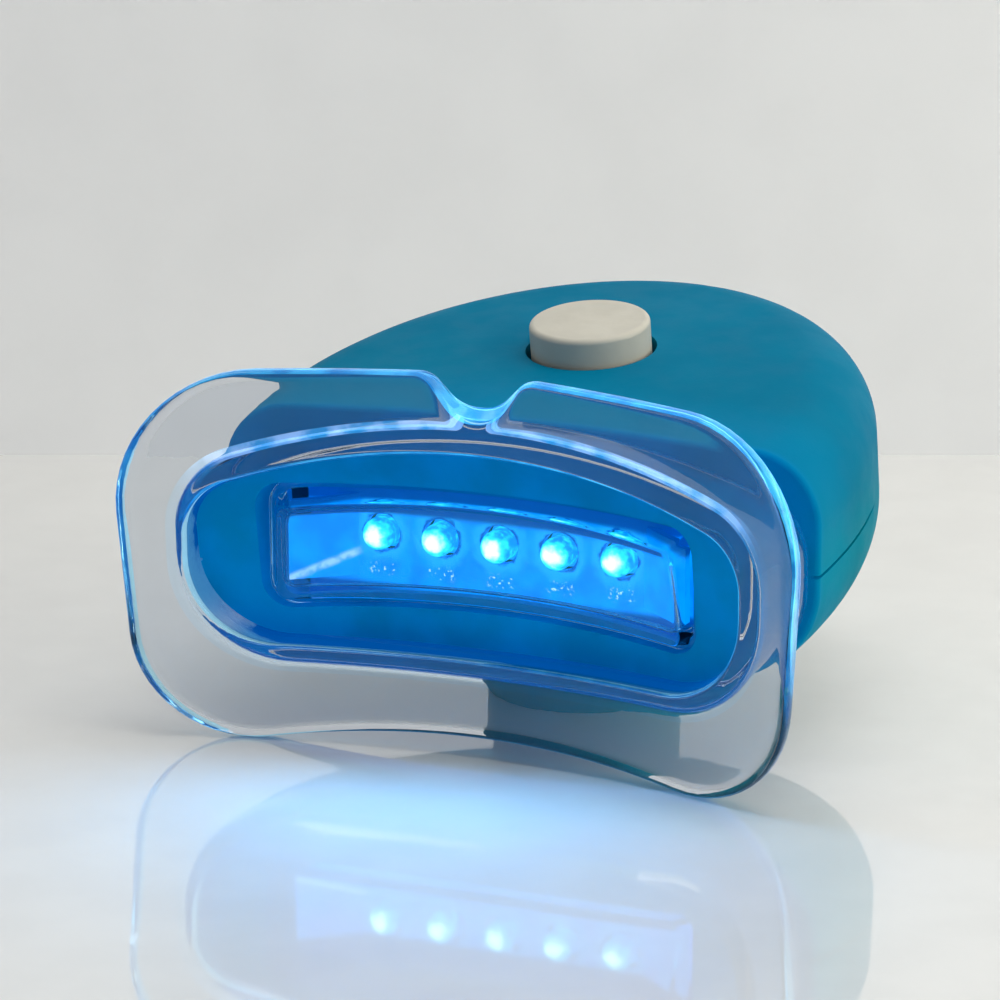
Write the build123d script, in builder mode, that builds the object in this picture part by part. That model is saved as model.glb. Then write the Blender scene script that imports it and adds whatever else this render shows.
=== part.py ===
from build123d import *
from math import asin, cos, degrees, radians, sin, sqrt
import os

# Teeth whitening lamp in millimetres.
# X runs to the wearer's right, Y from the lip shield back into the casing, Z up.
# The lamp stands on the table (Z = 0) on its foot and on the lip shield's lower edge.
# While the pieces are drawn, Y = 0 is the middle of the shield's front surface.

# Lip shield
shield_width = 66.0
shield_height = 35.2
shield_thickness = 2.4
shield_radius = 82.4
shield_edge_round = 1.0
shield_corner_top = 12.5
shield_corner_bottom = 10.5
shield_arch_rise = 1.78
shield_arch_half_width = 21.0
shield_side_lean = 1.8
shield_side_swell = 0.8
shield_top_fall = 1.3
notch_half_width = 4.9
notch_depth = 3.5
notch_bottom_half_width = 1.7
notch_shoulder_round = 2.4
notch_bottom_round = 3.4

# Neck: the oval sleeve behind the shield and the casing's nose inside it
neck_half_width = 26.8
neck_floor = 9.1
neck_crown = 28.0
neck_arch_radius = 73.0
neck_corner_bottom = 8.0
neck_corner_top = 5.0
sleeve_wall = 1.8
sleeve_end = 8.4
nose_clearance = 0.2
nose_wall = 1.6
nose_face_wall = 2.0
nose_recess = 2.4
nose_recess_height = 17.0
nose_reach = 8.0
sleeve_shoulder_gap = 0.3

# Casing, drawn in its own tilted frame
body_tilt = 8.5
seam_height = 16.6
body_half_width = 29.6
body_widest = 14.3
body_front_axis = 44.7
body_rear_axis = 40.4
body_top = 11.9
body_bottom = 10.0
body_top_round = 6.8
body_bottom_round = 8.8
body_crown_radius = 330.0
body_crown_centre = 22.0
body_wall = 1.8
body_front_round = 0.5
seam_groove_width = 0.3
seam_groove_depth = 0.5

# Window lens: a clear box with a collar that lies in a recess of the nose
lens_half_width = 19.3
lens_top = 21.7
lens_bottom = 12.8
lens_arch_top = 0.6
lens_arch_bottom = 1.2
lens_rim_y = -1.0
lens_flare_side = 0.6
lens_flare_top = 0.45
lens_flare_bottom = 0.1
lens_corner = 1.0
lens_wall = 1.2
lens_face_y = 1.55
lens_face_height = 17.2
collar_half_width = 21.3
collar_top = 23.9
collar_bottom = 11.6
collar_corner = 2.6
collar_thickness = 0.8
collar_clearance = 0.15
lens_pocket = 3.9
window_half_width = 19.9
window_top = 22.3
window_bottom = 12.9

# Lights
led_count = 5
led_pitch = 5.91
led_height = 18.65
led_diameter = 3.0
led_flange_diameter = 3.8
led_flange_thickness = 1.0
led_length = 5.3
led_board_y = 9.2
led_board_width = 36.0
led_board_height = 9.0
board_thickness = 1.0
board_corner = 0.6
led_leg_width = 0.5
led_leg_gap = 2.54
led_leg_length = 1.0

# Reflector tray
tray_front = 5.95
tray_thickness = 1.0
tray_flat_half = 14.2
tray_half_width = 19.3
tray_flare_front = 1.7
tray_middle = 17.8
tray_height = 6.8
tray_plate_half = 19.3
tray_plate_height = 11.0
led_hole_diameter = 3.6
tray_peg_x = 15.4
tray_peg_diameter = 2.0

# Button and switch, along the tilted button axis
button_v = 28.3
button_diameter = 11.3
button_top = 14.6
button_edge_round = 0.5
button_wall = 1.2
button_flange_diameter = 13.6
button_flange_thickness = 1.0
button_clearance = 0.5
button_seat_drop = 0.5
button_travel = 1.6
board_top = 1.6
main_board_front_v = 15.5
main_board_length = 23.0
main_board_width = 23.0
switch_size = 7.0
switch_stop_gap = 0.4
switch_floor = 0.4
switch_roof = 0.6
switch_pin_length = 1.2
plunger_size = 3.0
plunger_collar = 0.5
plunger_collar_height = 0.6
plunger_clearance = 0.2
plunger_head = 10.6
spring_wire = 0.3
spring_diameter = 2.0
spring_turns = 5
switch_pin_size = 0.6
switch_pin_pitch = 2.5
resistor_x = -9.2
resistor_v = 27.0
resistor_reach = 3.2
resistor_length = 3.6
resistor_diameter = 1.7
resistor_stand = 1.1
resistor_wire = 0.5

# Foot, cells and cap
foot_y = 25.9
foot_diameter = 18.6
cell_diameter = 11.6
cell_height = 5.4
cell_count = 3
cell_step = 0.5
cell_cup_diameter = 10.4
cell_edge_round = 0.3
cell_clearance = 0.4
well_wall = 1.3
cap_recess = 0.3
cap_thickness = 1.9
cap_diameter = 14.6
cap_clearance = 0.2
seal_thickness = 0.3
cap_contact_height = 0.8
cap_contact_radius = 6.0
cap_contact_crown = 3.5
cap_edge = 0.3
seal_hole_diameter = 12.8
lug_width = 3.0
lug_reach = 0.6
lug_thickness = 1.0
cap_turn = 60.0
coin_slot_width = 1.4
coin_slot_depth = 1.0
coin_slot_length = 11.0
contact_thickness = 0.3
contact_width = 3.0
contact_slot = 0.3
contact_gap = 0.05
contact_tongue = 1.2
top_contact_radius = 4.5
top_contact_tab = 3.4
foot_top = 12.6

# Screws
case_screw_x = 17.5
case_screw_front_v = 14.0
case_screw_rear_v = 47.0
screw_diameter = 2.0
screw_head_diameter = 3.8
screw_head_height = 1.3
screw_length = 9.0
upper_boss_diameter = 5.2
lower_boss_diameter = 6.6
case_screw_depth = 5.6
board_screw_x = 9.0
board_screw_v = 35.5
board_post_front_v = 18.5
board_post_diameter = 4.0
board_screw_length = 4.5
board_screw_diameter = 1.6
board_screw_head = 3.0
board_screw_head_height = 1.0
pin_fit = 0.1
cross_width = 0.5
cross_length = 2.2
cross_depth = 0.6

# Wires
lead_diameter = 1.0
lead_x = 5.2
lead_start_height = 15.4
lead_end_v = 17.2
lead_bend_radius = 1.9
seat_gap = 0.1
rib_width = 2.4
rib_x = 16.6
rib_depth = 3.2
rib_slot_depth = 1.2

tilt_sin = sin(radians(body_tilt))
tilt_cos = cos(radians(body_tilt))
shield_centre_y = -shield_radius
led_xs = [led_pitch * (i - (led_count - 1) / 2) for i in range(led_count)]
body_front = sleeve_end + sleeve_shoulder_gap
beyond = 40.0
cut_margin = 1.0

# The finished pieces are moved so that the origin is under the middle of the whole lamp
shield_end_y = shield_centre_y + sqrt(shield_radius**2 - (shield_width / 2)**2) + shield_edge_round / 2
rear_round_v = body_widest + body_rear_axis - body_bottom_round
rear_end_y = rear_round_v * tilt_cos + (body_bottom - body_bottom_round) * tilt_sin + body_bottom_round
origin_y = (shield_end_y + rear_end_y) / 2

os.makedirs("parts", exist_ok=True)


def save(builder, name):
    """Name a finished piece, move it to the lamp's origin and write it."""
    piece = builder.part.moved(Location((0, -origin_y, 0)))
    piece.label = name
    export_step(piece, f"parts/{name}.step")


def body_plane(w, v=0.0, x=0.0):
    """Plane of the tilted casing frame at height w, moved to v and x along it."""
    centre = (x, v * tilt_cos - w * tilt_sin, seam_height + v * tilt_sin + w * tilt_cos)
    return Plane(origin=centre, x_dir=(1, 0, 0), z_dir=(0, -tilt_sin, tilt_cos))


def front_plane(y):
    """Upright plane seen from the mouth side, X to the right and Z up."""
    return Plane(origin=(0, y, 0), x_dir=(1, 0, 0), z_dir=(0, -1, 0))


def body_w(y, z):
    """Height of a point above the seam, measured square to the tilted seam."""
    return -y * tilt_sin + (z - seam_height) * tilt_cos


def draw_egg(inset):
    """Egg shaped plan of the casing as two half ellipses."""
    half = body_half_width - inset
    with BuildLine() as line:
        EllipticalCenterArc((0, body_widest), half, body_rear_axis - inset, start_angle=0, arc_size=180)
        EllipticalCenterArc((0, body_widest), half, body_front_axis - inset, start_angle=180, arc_size=180)
    make_face(line.edges())


def draw_neck(sketch, inset):
    """Arched section of the neck, shrunk evenly by inset."""
    half = neck_half_width - inset
    floor = neck_floor + inset
    crown = neck_crown - inset
    radius = neck_arch_radius - inset
    shoulder = crown - (radius - sqrt(radius**2 - half**2))
    with BuildLine() as line:
        Polyline((-half, shoulder), (-half, floor), (half, floor), (half, shoulder))
        ThreePointArc((half, shoulder), (0, crown), (-half, shoulder))
    make_face(line.edges())
    corners = sketch.vertices().sort_by(Axis.Y)
    fillet(corners[:2], neck_corner_bottom - inset)
    fillet(sketch.vertices().sort_by(Axis.Y)[-2:], neck_corner_top - inset)


def draw_arched(sketch, half, bottom, top, corner, inset=0.0):
    """Rectangle with rounded corners whose top and bottom edges arch up in the middle."""
    wide = half - inset
    low = bottom + inset
    high = top - inset
    with BuildLine() as line:
        Line((wide, low), (wide, high))
        ThreePointArc((wide, high), (0, high + lens_arch_top), (-wide, high))
        Line((-wide, high), (-wide, low))
        ThreePointArc((-wide, low), (0, low + lens_arch_bottom), (wide, low))
    make_face(line.edges())
    fillet(sketch.vertices(), corner)


def draw_lens(sketch, y, inset):
    """Section of the lens box at depth y, flaring back from its rim."""
    depth = y - lens_rim_y
    half = lens_half_width + lens_flare_side * depth
    top = lens_top + lens_flare_top * depth
    bottom = lens_bottom - lens_flare_bottom * depth
    draw_arched(sketch, half, bottom, top, lens_corner, inset)


def casing_solid(inset):
    """Closed egg shaped body of the casing, shrunk evenly by inset."""
    top = body_top - inset
    bottom = body_bottom - inset
    with BuildPart() as upper:
        with BuildSketch(body_plane(0)):
            draw_egg(inset)
        extrude(amount=top + cut_margin)
        with Locations(body_plane(top - body_crown_radius + inset, body_crown_centre)):
            Sphere(body_crown_radius - inset, mode=Mode.INTERSECT)
        rim = upper.faces().sort_by(lambda f: body_w(f.center().Y, f.center().Z))[-1].edges()
        fillet(rim, body_top_round - inset)
    with BuildPart() as lower:
        with BuildSketch(body_plane(0)):
            draw_egg(inset)
        extrude(amount=-bottom)
        rim = lower.faces().sort_by(lambda f: body_w(f.center().Y, f.center().Z))[0].edges()
        fillet(rim, body_bottom_round - inset)
    return upper.part, lower.part


def axis_cylinder(radius, mode):
    """Upright cylinder round the shield's centre line, in the part that is open."""
    with Locations((0, shield_centre_y, shield_height / 2)):
        Cylinder(radius, 2 * shield_height, mode=mode)


def leaning_axis(face_y, face_height):
    """Frame of a cylinder that leans like the casing, with its front through a given point."""
    return Plane(
        origin=(0, face_y - shield_radius * tilt_cos, face_height - shield_radius * tilt_sin),
        x_dir=(1, 0, 0),
        z_dir=(0, -tilt_sin, tilt_cos),
    )


def nose_ring(radius_in, radius_out):
    """Curved wall between two cylinders round the shield's centre line."""
    with BuildPart() as ring:
        axis_cylinder(radius_out, Mode.ADD)
        axis_cylinder(radius_in, Mode.SUBTRACT)
    return ring.part


# Shapes that both casing halves share

outer_upper, outer_lower = casing_solid(0)
inner_upper, inner_lower = casing_solid(body_wall)

with BuildPart() as front_block:
    with BuildSketch(front_plane(body_front)):
        Rectangle(4 * shield_width, 4 * shield_width)
    extrude(amount=beyond)

with BuildPart() as inner_front_block:
    with BuildSketch(front_plane(body_front + body_wall)):
        Rectangle(4 * shield_width, 4 * shield_width)
    extrude(amount=beyond)

with BuildPart() as nose_solid:
    with BuildSketch(front_plane(body_front + body_wall)) as section:
        draw_neck(section, nose_clearance)
    extrude(amount=body_front + body_wall + nose_reach)
    with Locations(leaning_axis(nose_recess, nose_recess_height)):
        Cylinder(shield_radius, 2 * shield_height, mode=Mode.SUBTRACT)

with BuildPart() as nose_cavity:
    with BuildSketch(front_plane(body_front + 2 * body_wall)) as section:
        draw_neck(section, nose_clearance + nose_wall)
    extrude(amount=body_front + 2 * body_wall + shield_thickness)
    axis_cylinder(shield_radius + lens_pocket + nose_face_wall, Mode.SUBTRACT)

with BuildPart() as collar_recess:
    with BuildSketch(front_plane(body_front)) as section:
        draw_arched(section, collar_half_width, collar_bottom, collar_top, collar_corner)
    extrude(amount=2 * body_front)
    add(nose_ring(shield_radius, shield_radius + lens_pocket + collar_thickness), mode=Mode.INTERSECT)

with BuildPart() as window_cut:
    with BuildSketch(front_plane(body_front)) as section:
        draw_arched(section, window_half_width, window_bottom, window_top, lens_corner)
    extrude(amount=2 * body_front)
    add(collar_recess.part)

with BuildPart() as seam_groove:
    with BuildSketch(body_plane(-seam_groove_width / 2)):
        draw_egg(-seam_groove_depth)
        with BuildSketch(body_plane(-seam_groove_width / 2), mode=Mode.PRIVATE) as core:
            draw_egg(seam_groove_depth)
        add(core.sketch, mode=Mode.SUBTRACT)
    extrude(amount=seam_groove_width)


def casing_half(outer, inner, side):
    """One half of the casing: hollow egg plus its half of the nose."""
    with BuildPart() as half:
        add(outer)
        add(front_block.part, mode=Mode.SUBTRACT)
        front_face = half.faces().sort_by(Axis.Y)[0]
        off_seam = lambda e: abs(body_w(e.center().Y, e.center().Z)) > seam_groove_width
        rim = front_face.edges().filter_by(off_seam)
        fillet(rim, body_front_round)
        add(split(nose_solid.part, bisect_by=body_plane(0), keep=side, mode=Mode.PRIVATE))
        add(inner - inner_front_block.part, mode=Mode.SUBTRACT)
        add(nose_cavity.part, mode=Mode.SUBTRACT)
        add(window_cut.part, mode=Mode.SUBTRACT)
        add(seam_groove.part, mode=Mode.SUBTRACT)
    return half.part


# Places worked out from the driving sizes

well_radius = cell_diameter / 2 + cell_clearance
well_outer = well_radius + well_wall
cap_top = cap_recess + cap_thickness
ledge_height = cap_top + seal_thickness + seat_gap
cells_bottom = cap_top + cap_contact_height
cells_top = cells_bottom + cell_count * cell_height
foot_bore = cap_diameter / 2 + cap_clearance
board_bottom = board_top - board_thickness
board_middle_v = main_board_front_v + main_board_length / 2
tray_back = tray_front + tray_thickness
led_board_back = led_board_y + board_thickness
led_board_middle = (neck_floor + neck_crown) / 2
led_board_bottom = led_board_middle - led_board_height / 2
led_board_top = led_board_middle + led_board_height / 2
slot_width = board_thickness + 2 * seat_gap
button_flange_top = body_top - body_wall - button_seat_drop
button_flange_bottom = button_flange_top - button_flange_thickness
switch_height = button_flange_bottom - button_travel - switch_stop_gap - board_top
switch_top = board_top + switch_height
case_screws_at = [
    (-case_screw_x, case_screw_front_v),
    (case_screw_x, case_screw_front_v),
    (0, case_screw_rear_v),
]
board_screws_at = [(-board_screw_x, board_screw_v), (board_screw_x, board_screw_v)]
board_posts_at = board_screws_at + [
    (-board_screw_x, board_post_front_v),
    (board_screw_x, board_post_front_v),
]
ribs_at = [(-rib_x, led_board_y + board_thickness / 2), (rib_x, led_board_y + board_thickness / 2)]
foot_axis = Axis((0, foot_y, 0), (0, 0, 1))


def board_under_z(y):
    """Height of the main board's lower face above the table, at a given Y."""
    v = (y + board_bottom * tilt_sin) / tilt_cos
    return seam_height + v * tilt_sin + board_bottom * tilt_cos


def pin(x, v, w, radius, height, mode=Mode.ADD):
    """Round pin square to the seam, from height w upwards."""
    with BuildSketch(body_plane(w, v, x)) as section:
        Circle(radius)
    extrude(section.sketch, amount=height, mode=mode)


def tilted_box(x, v, w, width, length, height, mode=Mode.ADD):
    """Box square to the seam, centred on x and v, from height w upwards."""
    with BuildSketch(body_plane(w, v, x)) as section:
        Rectangle(width, length)
    extrude(section.sketch, amount=height, mode=mode)


def level_boxes(low, high, width, depth, places, mode=Mode.ADD):
    """Upright boxes at (x, y) places between two heights."""
    with BuildSketch(Plane.XY.offset(low)) as section:
        with Locations(*places):
            Rectangle(width, depth)
    extrude(section.sketch, amount=high - low, mode=mode)


def foot_disc(low, high, radius, mode=Mode.ADD):
    """Upright disc on the foot's axis between two heights."""
    with BuildSketch(Plane.XY.offset(low)) as section:
        with Locations((0, foot_y)):
            Circle(radius)
    extrude(section.sketch, amount=high - low, mode=mode)


def foot_lugs(low, high, radius, width, angle, mode=Mode.ADD):
    """Pair of lugs that reach out to a radius on both sides of the foot's axis."""
    with BuildSketch(Plane.XY.offset(low)) as section:
        with Locations((0, foot_y)):
            Circle(radius)
            Rectangle(4 * radius, width, rotation=angle, mode=Mode.INTERSECT)
    extrude(section.sketch, amount=high - low, mode=mode)


def lug_groove(start, low, high):
    """Arc of groove round the foot's bore that one lug of the cap turns in."""
    reach = foot_bore + lug_reach
    swing = degrees(asin((lug_width / 2 + cap_clearance) / reach))
    first = radians(start - swing)
    across = Plane(
        origin=(0, foot_y, 0),
        x_dir=(cos(first), sin(first), 0),
        z_dir=(sin(first), -cos(first), 0),
    )
    with BuildSketch(across) as section:
        with Locations(((foot_bore + reach) / 2 - lug_reach / 2, (low + high) / 2)):
            Rectangle(2 * lug_reach, high - low)
    revolve(section.sketch, axis=foot_axis, revolution_arc=cap_turn + 2 * swing, mode=Mode.SUBTRACT)


def space_inside(side, outer):
    """Solid space of one casing half and its half of the nose, to trim ribs and posts with."""
    nose_half = split(nose_solid.part, bisect_by=body_plane(0), keep=side, mode=Mode.PRIVATE)
    return outer - front_block.part + nose_half


# Slotted ribs in the nose that hold the light board by its lower and upper edge

with BuildPart() as rib_space:
    with BuildSketch(front_plane(body_front + 2 * body_wall)) as section:
        draw_neck(section, nose_clearance + nose_wall / 2)
    extrude(amount=body_front + 2 * body_wall + shield_thickness)

with BuildPart() as lower_ribs:
    level_boxes(neck_floor, led_board_bottom + rib_slot_depth, rib_width, rib_depth, ribs_at)
    level_boxes(led_board_bottom - seat_gap, led_board_top, 2 * rib_width, slot_width, ribs_at,
                Mode.SUBTRACT)
    add(rib_space.part, mode=Mode.INTERSECT)

with BuildPart() as upper_ribs:
    level_boxes(led_board_top - rib_slot_depth, neck_crown, rib_width, rib_depth, ribs_at)
    level_boxes(led_board_bottom, led_board_top + seat_gap, 2 * rib_width, slot_width, ribs_at,
                Mode.SUBTRACT)
    add(rib_space.part, mode=Mode.INTERSECT)

# Lower half with its screw bosses, ribs, foot and cell well

with BuildPart() as lower_inside:
    for x, v in case_screws_at:
        pin(x, v, -2 * body_bottom, lower_boss_diameter / 2, 2 * body_bottom)
    add(space_inside(Keep.BOTTOM, outer_lower), mode=Mode.INTERSECT)

with BuildPart() as lower_shell:
    add(casing_half(outer_lower, inner_lower, Keep.BOTTOM))
    add(lower_inside.part)
    add(lower_ribs.part)
    foot_disc(0, foot_top, foot_diameter / 2)
    foot_disc(ledge_height, cells_top, well_outer)
    foot_disc(ledge_height, 2 * cells_top, well_radius, Mode.SUBTRACT)
    foot_disc(0, ledge_height, foot_bore, Mode.SUBTRACT)
    foot_lugs(0, ledge_height, foot_bore + lug_reach, lug_width + 2 * cap_clearance, cap_turn,
              Mode.SUBTRACT)
    for start in (0, 180):
        lug_groove(start, cap_top - lug_thickness - cap_clearance, ledge_height)
    level_boxes(ledge_height, 2 * cells_top, contact_width + 2 * seat_gap, 2 * contact_slot,
                [(0, foot_y + well_radius)], Mode.SUBTRACT)
    for x, v in case_screws_at:
        pin(x, v, -2 * body_bottom, screw_head_diameter / 2 + cap_clearance,
            2 * body_bottom - case_screw_depth, Mode.SUBTRACT)
        pin(x, v, -2 * body_bottom, screw_diameter / 2 + cap_clearance, 2 * body_bottom, Mode.SUBTRACT)
save(lower_shell, "lower_shell")

# Upper half with its screw bosses, board posts, ribs and button hole

with BuildPart() as upper_inside:
    for x, v in case_screws_at:
        pin(x, v, 0, upper_boss_diameter / 2, 2 * body_top)
    for x, v in board_posts_at:
        pin(x, v, board_top + seat_gap, board_post_diameter / 2, 2 * body_top)
    add(space_inside(Keep.TOP, outer_upper), mode=Mode.INTERSECT)

with BuildPart() as upper_shell:
    add(casing_half(outer_upper, inner_upper, Keep.TOP))
    add(upper_inside.part)
    add(upper_ribs.part)
    pin(0, button_v, button_flange_top, button_diameter / 2 + button_clearance, body_top, Mode.SUBTRACT)
    for x, v in case_screws_at:
        pin(x, v, 0, (screw_diameter + pin_fit) / 2, screw_length - case_screw_depth + cut_margin,
            Mode.SUBTRACT)
    for x, v in board_screws_at:
        pin(x, v, board_top, (board_screw_diameter + pin_fit) / 2, board_screw_length, Mode.SUBTRACT)
save(upper_shell, "upper_shell")

# Clear mouthpiece: curved lip shield and the sleeve behind it

with BuildPart() as mouthpiece:
    with BuildSketch(front_plane(shield_thickness + cut_margin)) as outline:
        arch_radius = (shield_arch_half_width**2 + shield_arch_rise**2) / (2 * shield_arch_rise)
        low_half = shield_width / 2 - shield_side_lean
        high_half = shield_width / 2 + shield_side_swell
        arch_end = shield_arch_rise - (arch_radius - sqrt(arch_radius**2 - low_half**2))
        shoulder = shield_height - shield_top_fall
        notch_bottom = shield_height - notch_depth
        with BuildLine():
            ThreePointArc((-low_half, arch_end), (0, shield_arch_rise), (low_half, arch_end))
            Polyline(
                (low_half, arch_end), (high_half, shoulder), (notch_half_width, shield_height),
                (notch_bottom_half_width, notch_bottom), (-notch_bottom_half_width, notch_bottom),
                (-notch_half_width, shield_height), (-high_half, shoulder), (-low_half, arch_end),
            )
        make_face()
        fillet(outline.vertices().group_by(SortBy.DISTANCE)[-1], shield_corner_top)
        fillet(outline.vertices().filter_by(lambda p: p.Y < 0), shield_corner_bottom)
        fillet(outline.vertices().filter_by(lambda p: abs(p.X) < notch_bottom_half_width + seat_gap),
               notch_bottom_round)
        shoulders = outline.vertices().filter_by(lambda p: abs(abs(p.X) - notch_half_width) < seat_gap)
        fillet(shoulders, notch_shoulder_round)
    extrude(amount=shield_width / 2)
    axis_cylinder(shield_radius + shield_thickness, Mode.INTERSECT)
    axis_cylinder(shield_radius, Mode.SUBTRACT)
    broad_faces = mouthpiece.faces().sort_by(SortBy.AREA)[-2:]
    fillet(broad_faces[0].edges() + broad_faces[1].edges(), shield_edge_round)
    with BuildSketch(front_plane(sleeve_end)) as section:
        draw_neck(section, -sleeve_wall)
    with BuildSketch(front_plane(sleeve_end)) as bore:
        draw_neck(bore, 0)
    sleeve = extrude(section.sketch, amount=2 * sleeve_end, mode=Mode.PRIVATE)
    with BuildPart(mode=Mode.PRIVATE) as shield_front:
        axis_cylinder(shield_radius + shield_thickness / 2, Mode.ADD)
    add(sleeve - shield_front.part)
    extrude(bore.sketch, amount=2 * sleeve_end, mode=Mode.SUBTRACT)
save(mouthpiece, "mouthpiece")

# Clear window lens: flared box with a collar, its face tilted like the casing

face_axis = leaning_axis(lens_face_y, lens_face_height)
lens_back_y = lens_pocket + collar_thickness
collar_ring = nose_ring(shield_radius + lens_pocket, shield_radius + lens_back_y)


def lens_box(inset, front_radius):
    """Flared box of the lens, with its front cut to a tilted curve."""
    with BuildPart() as box:
        with BuildSketch(front_plane(-shield_thickness)) as near:
            draw_lens(near, -shield_thickness, inset)
        with BuildSketch(front_plane(lens_back_y)) as far:
            draw_lens(far, lens_back_y, inset)
        loft()
        with Locations(face_axis):
            Cylinder(front_radius, 2 * shield_height, mode=Mode.SUBTRACT)
    return box.part


with BuildPart() as window_lens:
    add(lens_box(0, shield_radius))
    with BuildSketch(front_plane(body_front)) as section:
        draw_arched(section, collar_half_width, collar_bottom, collar_top, collar_corner, collar_clearance)
    collar = extrude(section.sketch, amount=2 * body_front, mode=Mode.PRIVATE)
    add(collar & collar_ring)
    add(collar, mode=Mode.INTERSECT)
    axis_cylinder(shield_radius + lens_back_y, Mode.INTERSECT)
    add(lens_box(lens_wall, shield_radius + lens_wall), mode=Mode.SUBTRACT)
save(window_lens, "window_lens")

# White reflector tray

with BuildPart() as reflector_tray:
    with BuildSketch(Plane.XY.offset(tray_middle - tray_height / 2)):
        with BuildLine():
            Polyline(
                (-tray_half_width, tray_flare_front), (-tray_flat_half, tray_front),
                (tray_flat_half, tray_front), (tray_half_width, tray_flare_front),
                (tray_half_width, tray_flare_front + tray_thickness), (tray_flat_half, tray_back),
                (-tray_flat_half, tray_back), (-tray_half_width, tray_flare_front + tray_thickness),
                close=True,
            )
        make_face()
    extrude(amount=tray_height)
    with BuildSketch(front_plane(tray_back)):
        with Locations((0, tray_middle)):
            Rectangle(2 * tray_plate_half, tray_plate_height)
    extrude(amount=tray_thickness)
    with BuildSketch(front_plane(led_board_y - seat_gap)):
        with Locations((-tray_peg_x, tray_middle), (tray_peg_x, tray_middle)):
            Circle(tray_peg_diameter / 2)
    extrude(amount=led_board_y - seat_gap - tray_back)
    with BuildSketch(front_plane(tray_back)):
        with Locations(*[(x, led_height) for x in led_xs]):
            Circle(led_hole_diameter / 2)
    extrude(amount=tray_back, mode=Mode.SUBTRACT)
save(reflector_tray, "reflector_tray")

# Lights, their legs and their board

for number, x in enumerate(led_xs, start=1):
    with BuildPart() as led:
        with BuildSketch(front_plane(led_board_y)):
            with Locations((x, led_height)):
                Circle(led_flange_diameter / 2)
        extrude(amount=led_flange_thickness)
        with BuildSketch(front_plane(led_board_y)):
            with Locations((x, led_height)):
                Circle(led_diameter / 2)
        extrude(amount=led_length)
        tip = led.edges().filter_by(GeomType.CIRCLE).sort_by(Axis.Y)[0]
        fillet(tip, led_diameter / 2 - seat_gap)
    save(led, f"led_{number}")

with BuildPart() as led_legs:
    with BuildSketch(front_plane(led_board_back + led_leg_length)):
        for x in led_xs:
            with Locations((x - led_leg_gap / 2, led_height), (x + led_leg_gap / 2, led_height)):
                Rectangle(led_leg_width, led_leg_width)
    extrude(amount=led_leg_length)
save(led_legs, "led_legs")

with BuildPart() as led_board:
    with BuildSketch(front_plane(led_board_back)) as section:
        with Locations((0, led_board_middle)):
            Rectangle(led_board_width, led_board_height)
        fillet(section.vertices(), board_corner)
    extrude(amount=board_thickness)
save(led_board, "led_board")

# Button with its retaining flange and its square socket for the switch

with BuildPart() as power_button:
    body_height = button_top - button_flange_bottom
    pin(0, button_v, button_flange_bottom, button_diameter / 2, body_height)
    rim = power_button.edges().filter_by(GeomType.CIRCLE).sort_by(Axis.Z)[-1]
    fillet(rim, button_edge_round)
    pin(0, button_v, button_flange_bottom, button_flange_diameter / 2, button_flange_thickness)
    inside_height = body_height - button_wall
    pin(0, button_v, button_flange_bottom, button_diameter / 2 - button_wall, inside_height, Mode.SUBTRACT)
    pin(0, button_v, button_flange_bottom, plunger_size, inside_height)
    tilted_box(0, button_v, button_flange_bottom, plunger_size + pin_fit, plunger_size + pin_fit,
               plunger_head - button_flange_bottom, Mode.SUBTRACT)
save(power_button, "power_button")

# Push switch: housing, plunger, spring and pins

collar_low = switch_top - switch_roof - seat_gap - plunger_collar_height
with BuildPart() as switch_housing:
    tilted_box(0, button_v, board_top, switch_size, switch_size, switch_height)
    cavity = plunger_size + 2 * plunger_collar + 2 * plunger_clearance
    tilted_box(0, button_v, board_top + switch_floor, cavity, cavity,
               switch_height - switch_floor - switch_roof, Mode.SUBTRACT)
    tilted_box(0, button_v, board_top + switch_floor, plunger_size + 2 * plunger_clearance,
               plunger_size + 2 * plunger_clearance, switch_height, Mode.SUBTRACT)
save(switch_housing, "switch_housing")

with BuildPart() as switch_plunger:
    tilted_box(0, button_v, collar_low, plunger_size, plunger_size, plunger_head - collar_low)
    collar_size = plunger_size + 2 * plunger_collar
    tilted_box(0, button_v, collar_low, collar_size, collar_size, plunger_collar_height)
save(switch_plunger, "switch_plunger")

spring_low = board_top + switch_floor + spring_wire / 2
spring_high = collar_low - spring_wire / 2
with BuildPart() as switch_spring:
    with BuildLine(body_plane(spring_low, button_v)) as coil:
        Helix((spring_high - spring_low) / spring_turns, spring_high - spring_low, spring_diameter / 2)
    with BuildSketch(Plane(origin=coil.line @ 0, z_dir=coil.line % 0)):
        Circle(spring_wire / 2)
    sweep()
save(switch_spring, "switch_spring")

with BuildPart() as switch_pins:
    for x in (-switch_pin_pitch, 0, switch_pin_pitch):
        for v in (button_v - switch_pin_pitch, button_v + switch_pin_pitch):
            tilted_box(x, v, board_bottom - switch_pin_length, switch_pin_size, switch_pin_size,
                       switch_pin_length)
save(switch_pins, "switch_pins")

# Main board and the resistor on it

with BuildPart() as main_board:
    with BuildSketch(body_plane(board_bottom, board_middle_v)) as section:
        Rectangle(main_board_width, main_board_length)
        fillet(section.vertices(), board_corner)
    extrude(amount=board_thickness)
    for x, v in board_screws_at:
        pin(x, v, board_bottom, board_screw_diameter / 2 + cap_clearance, board_thickness, Mode.SUBTRACT)
save(main_board, "main_board")

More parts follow.
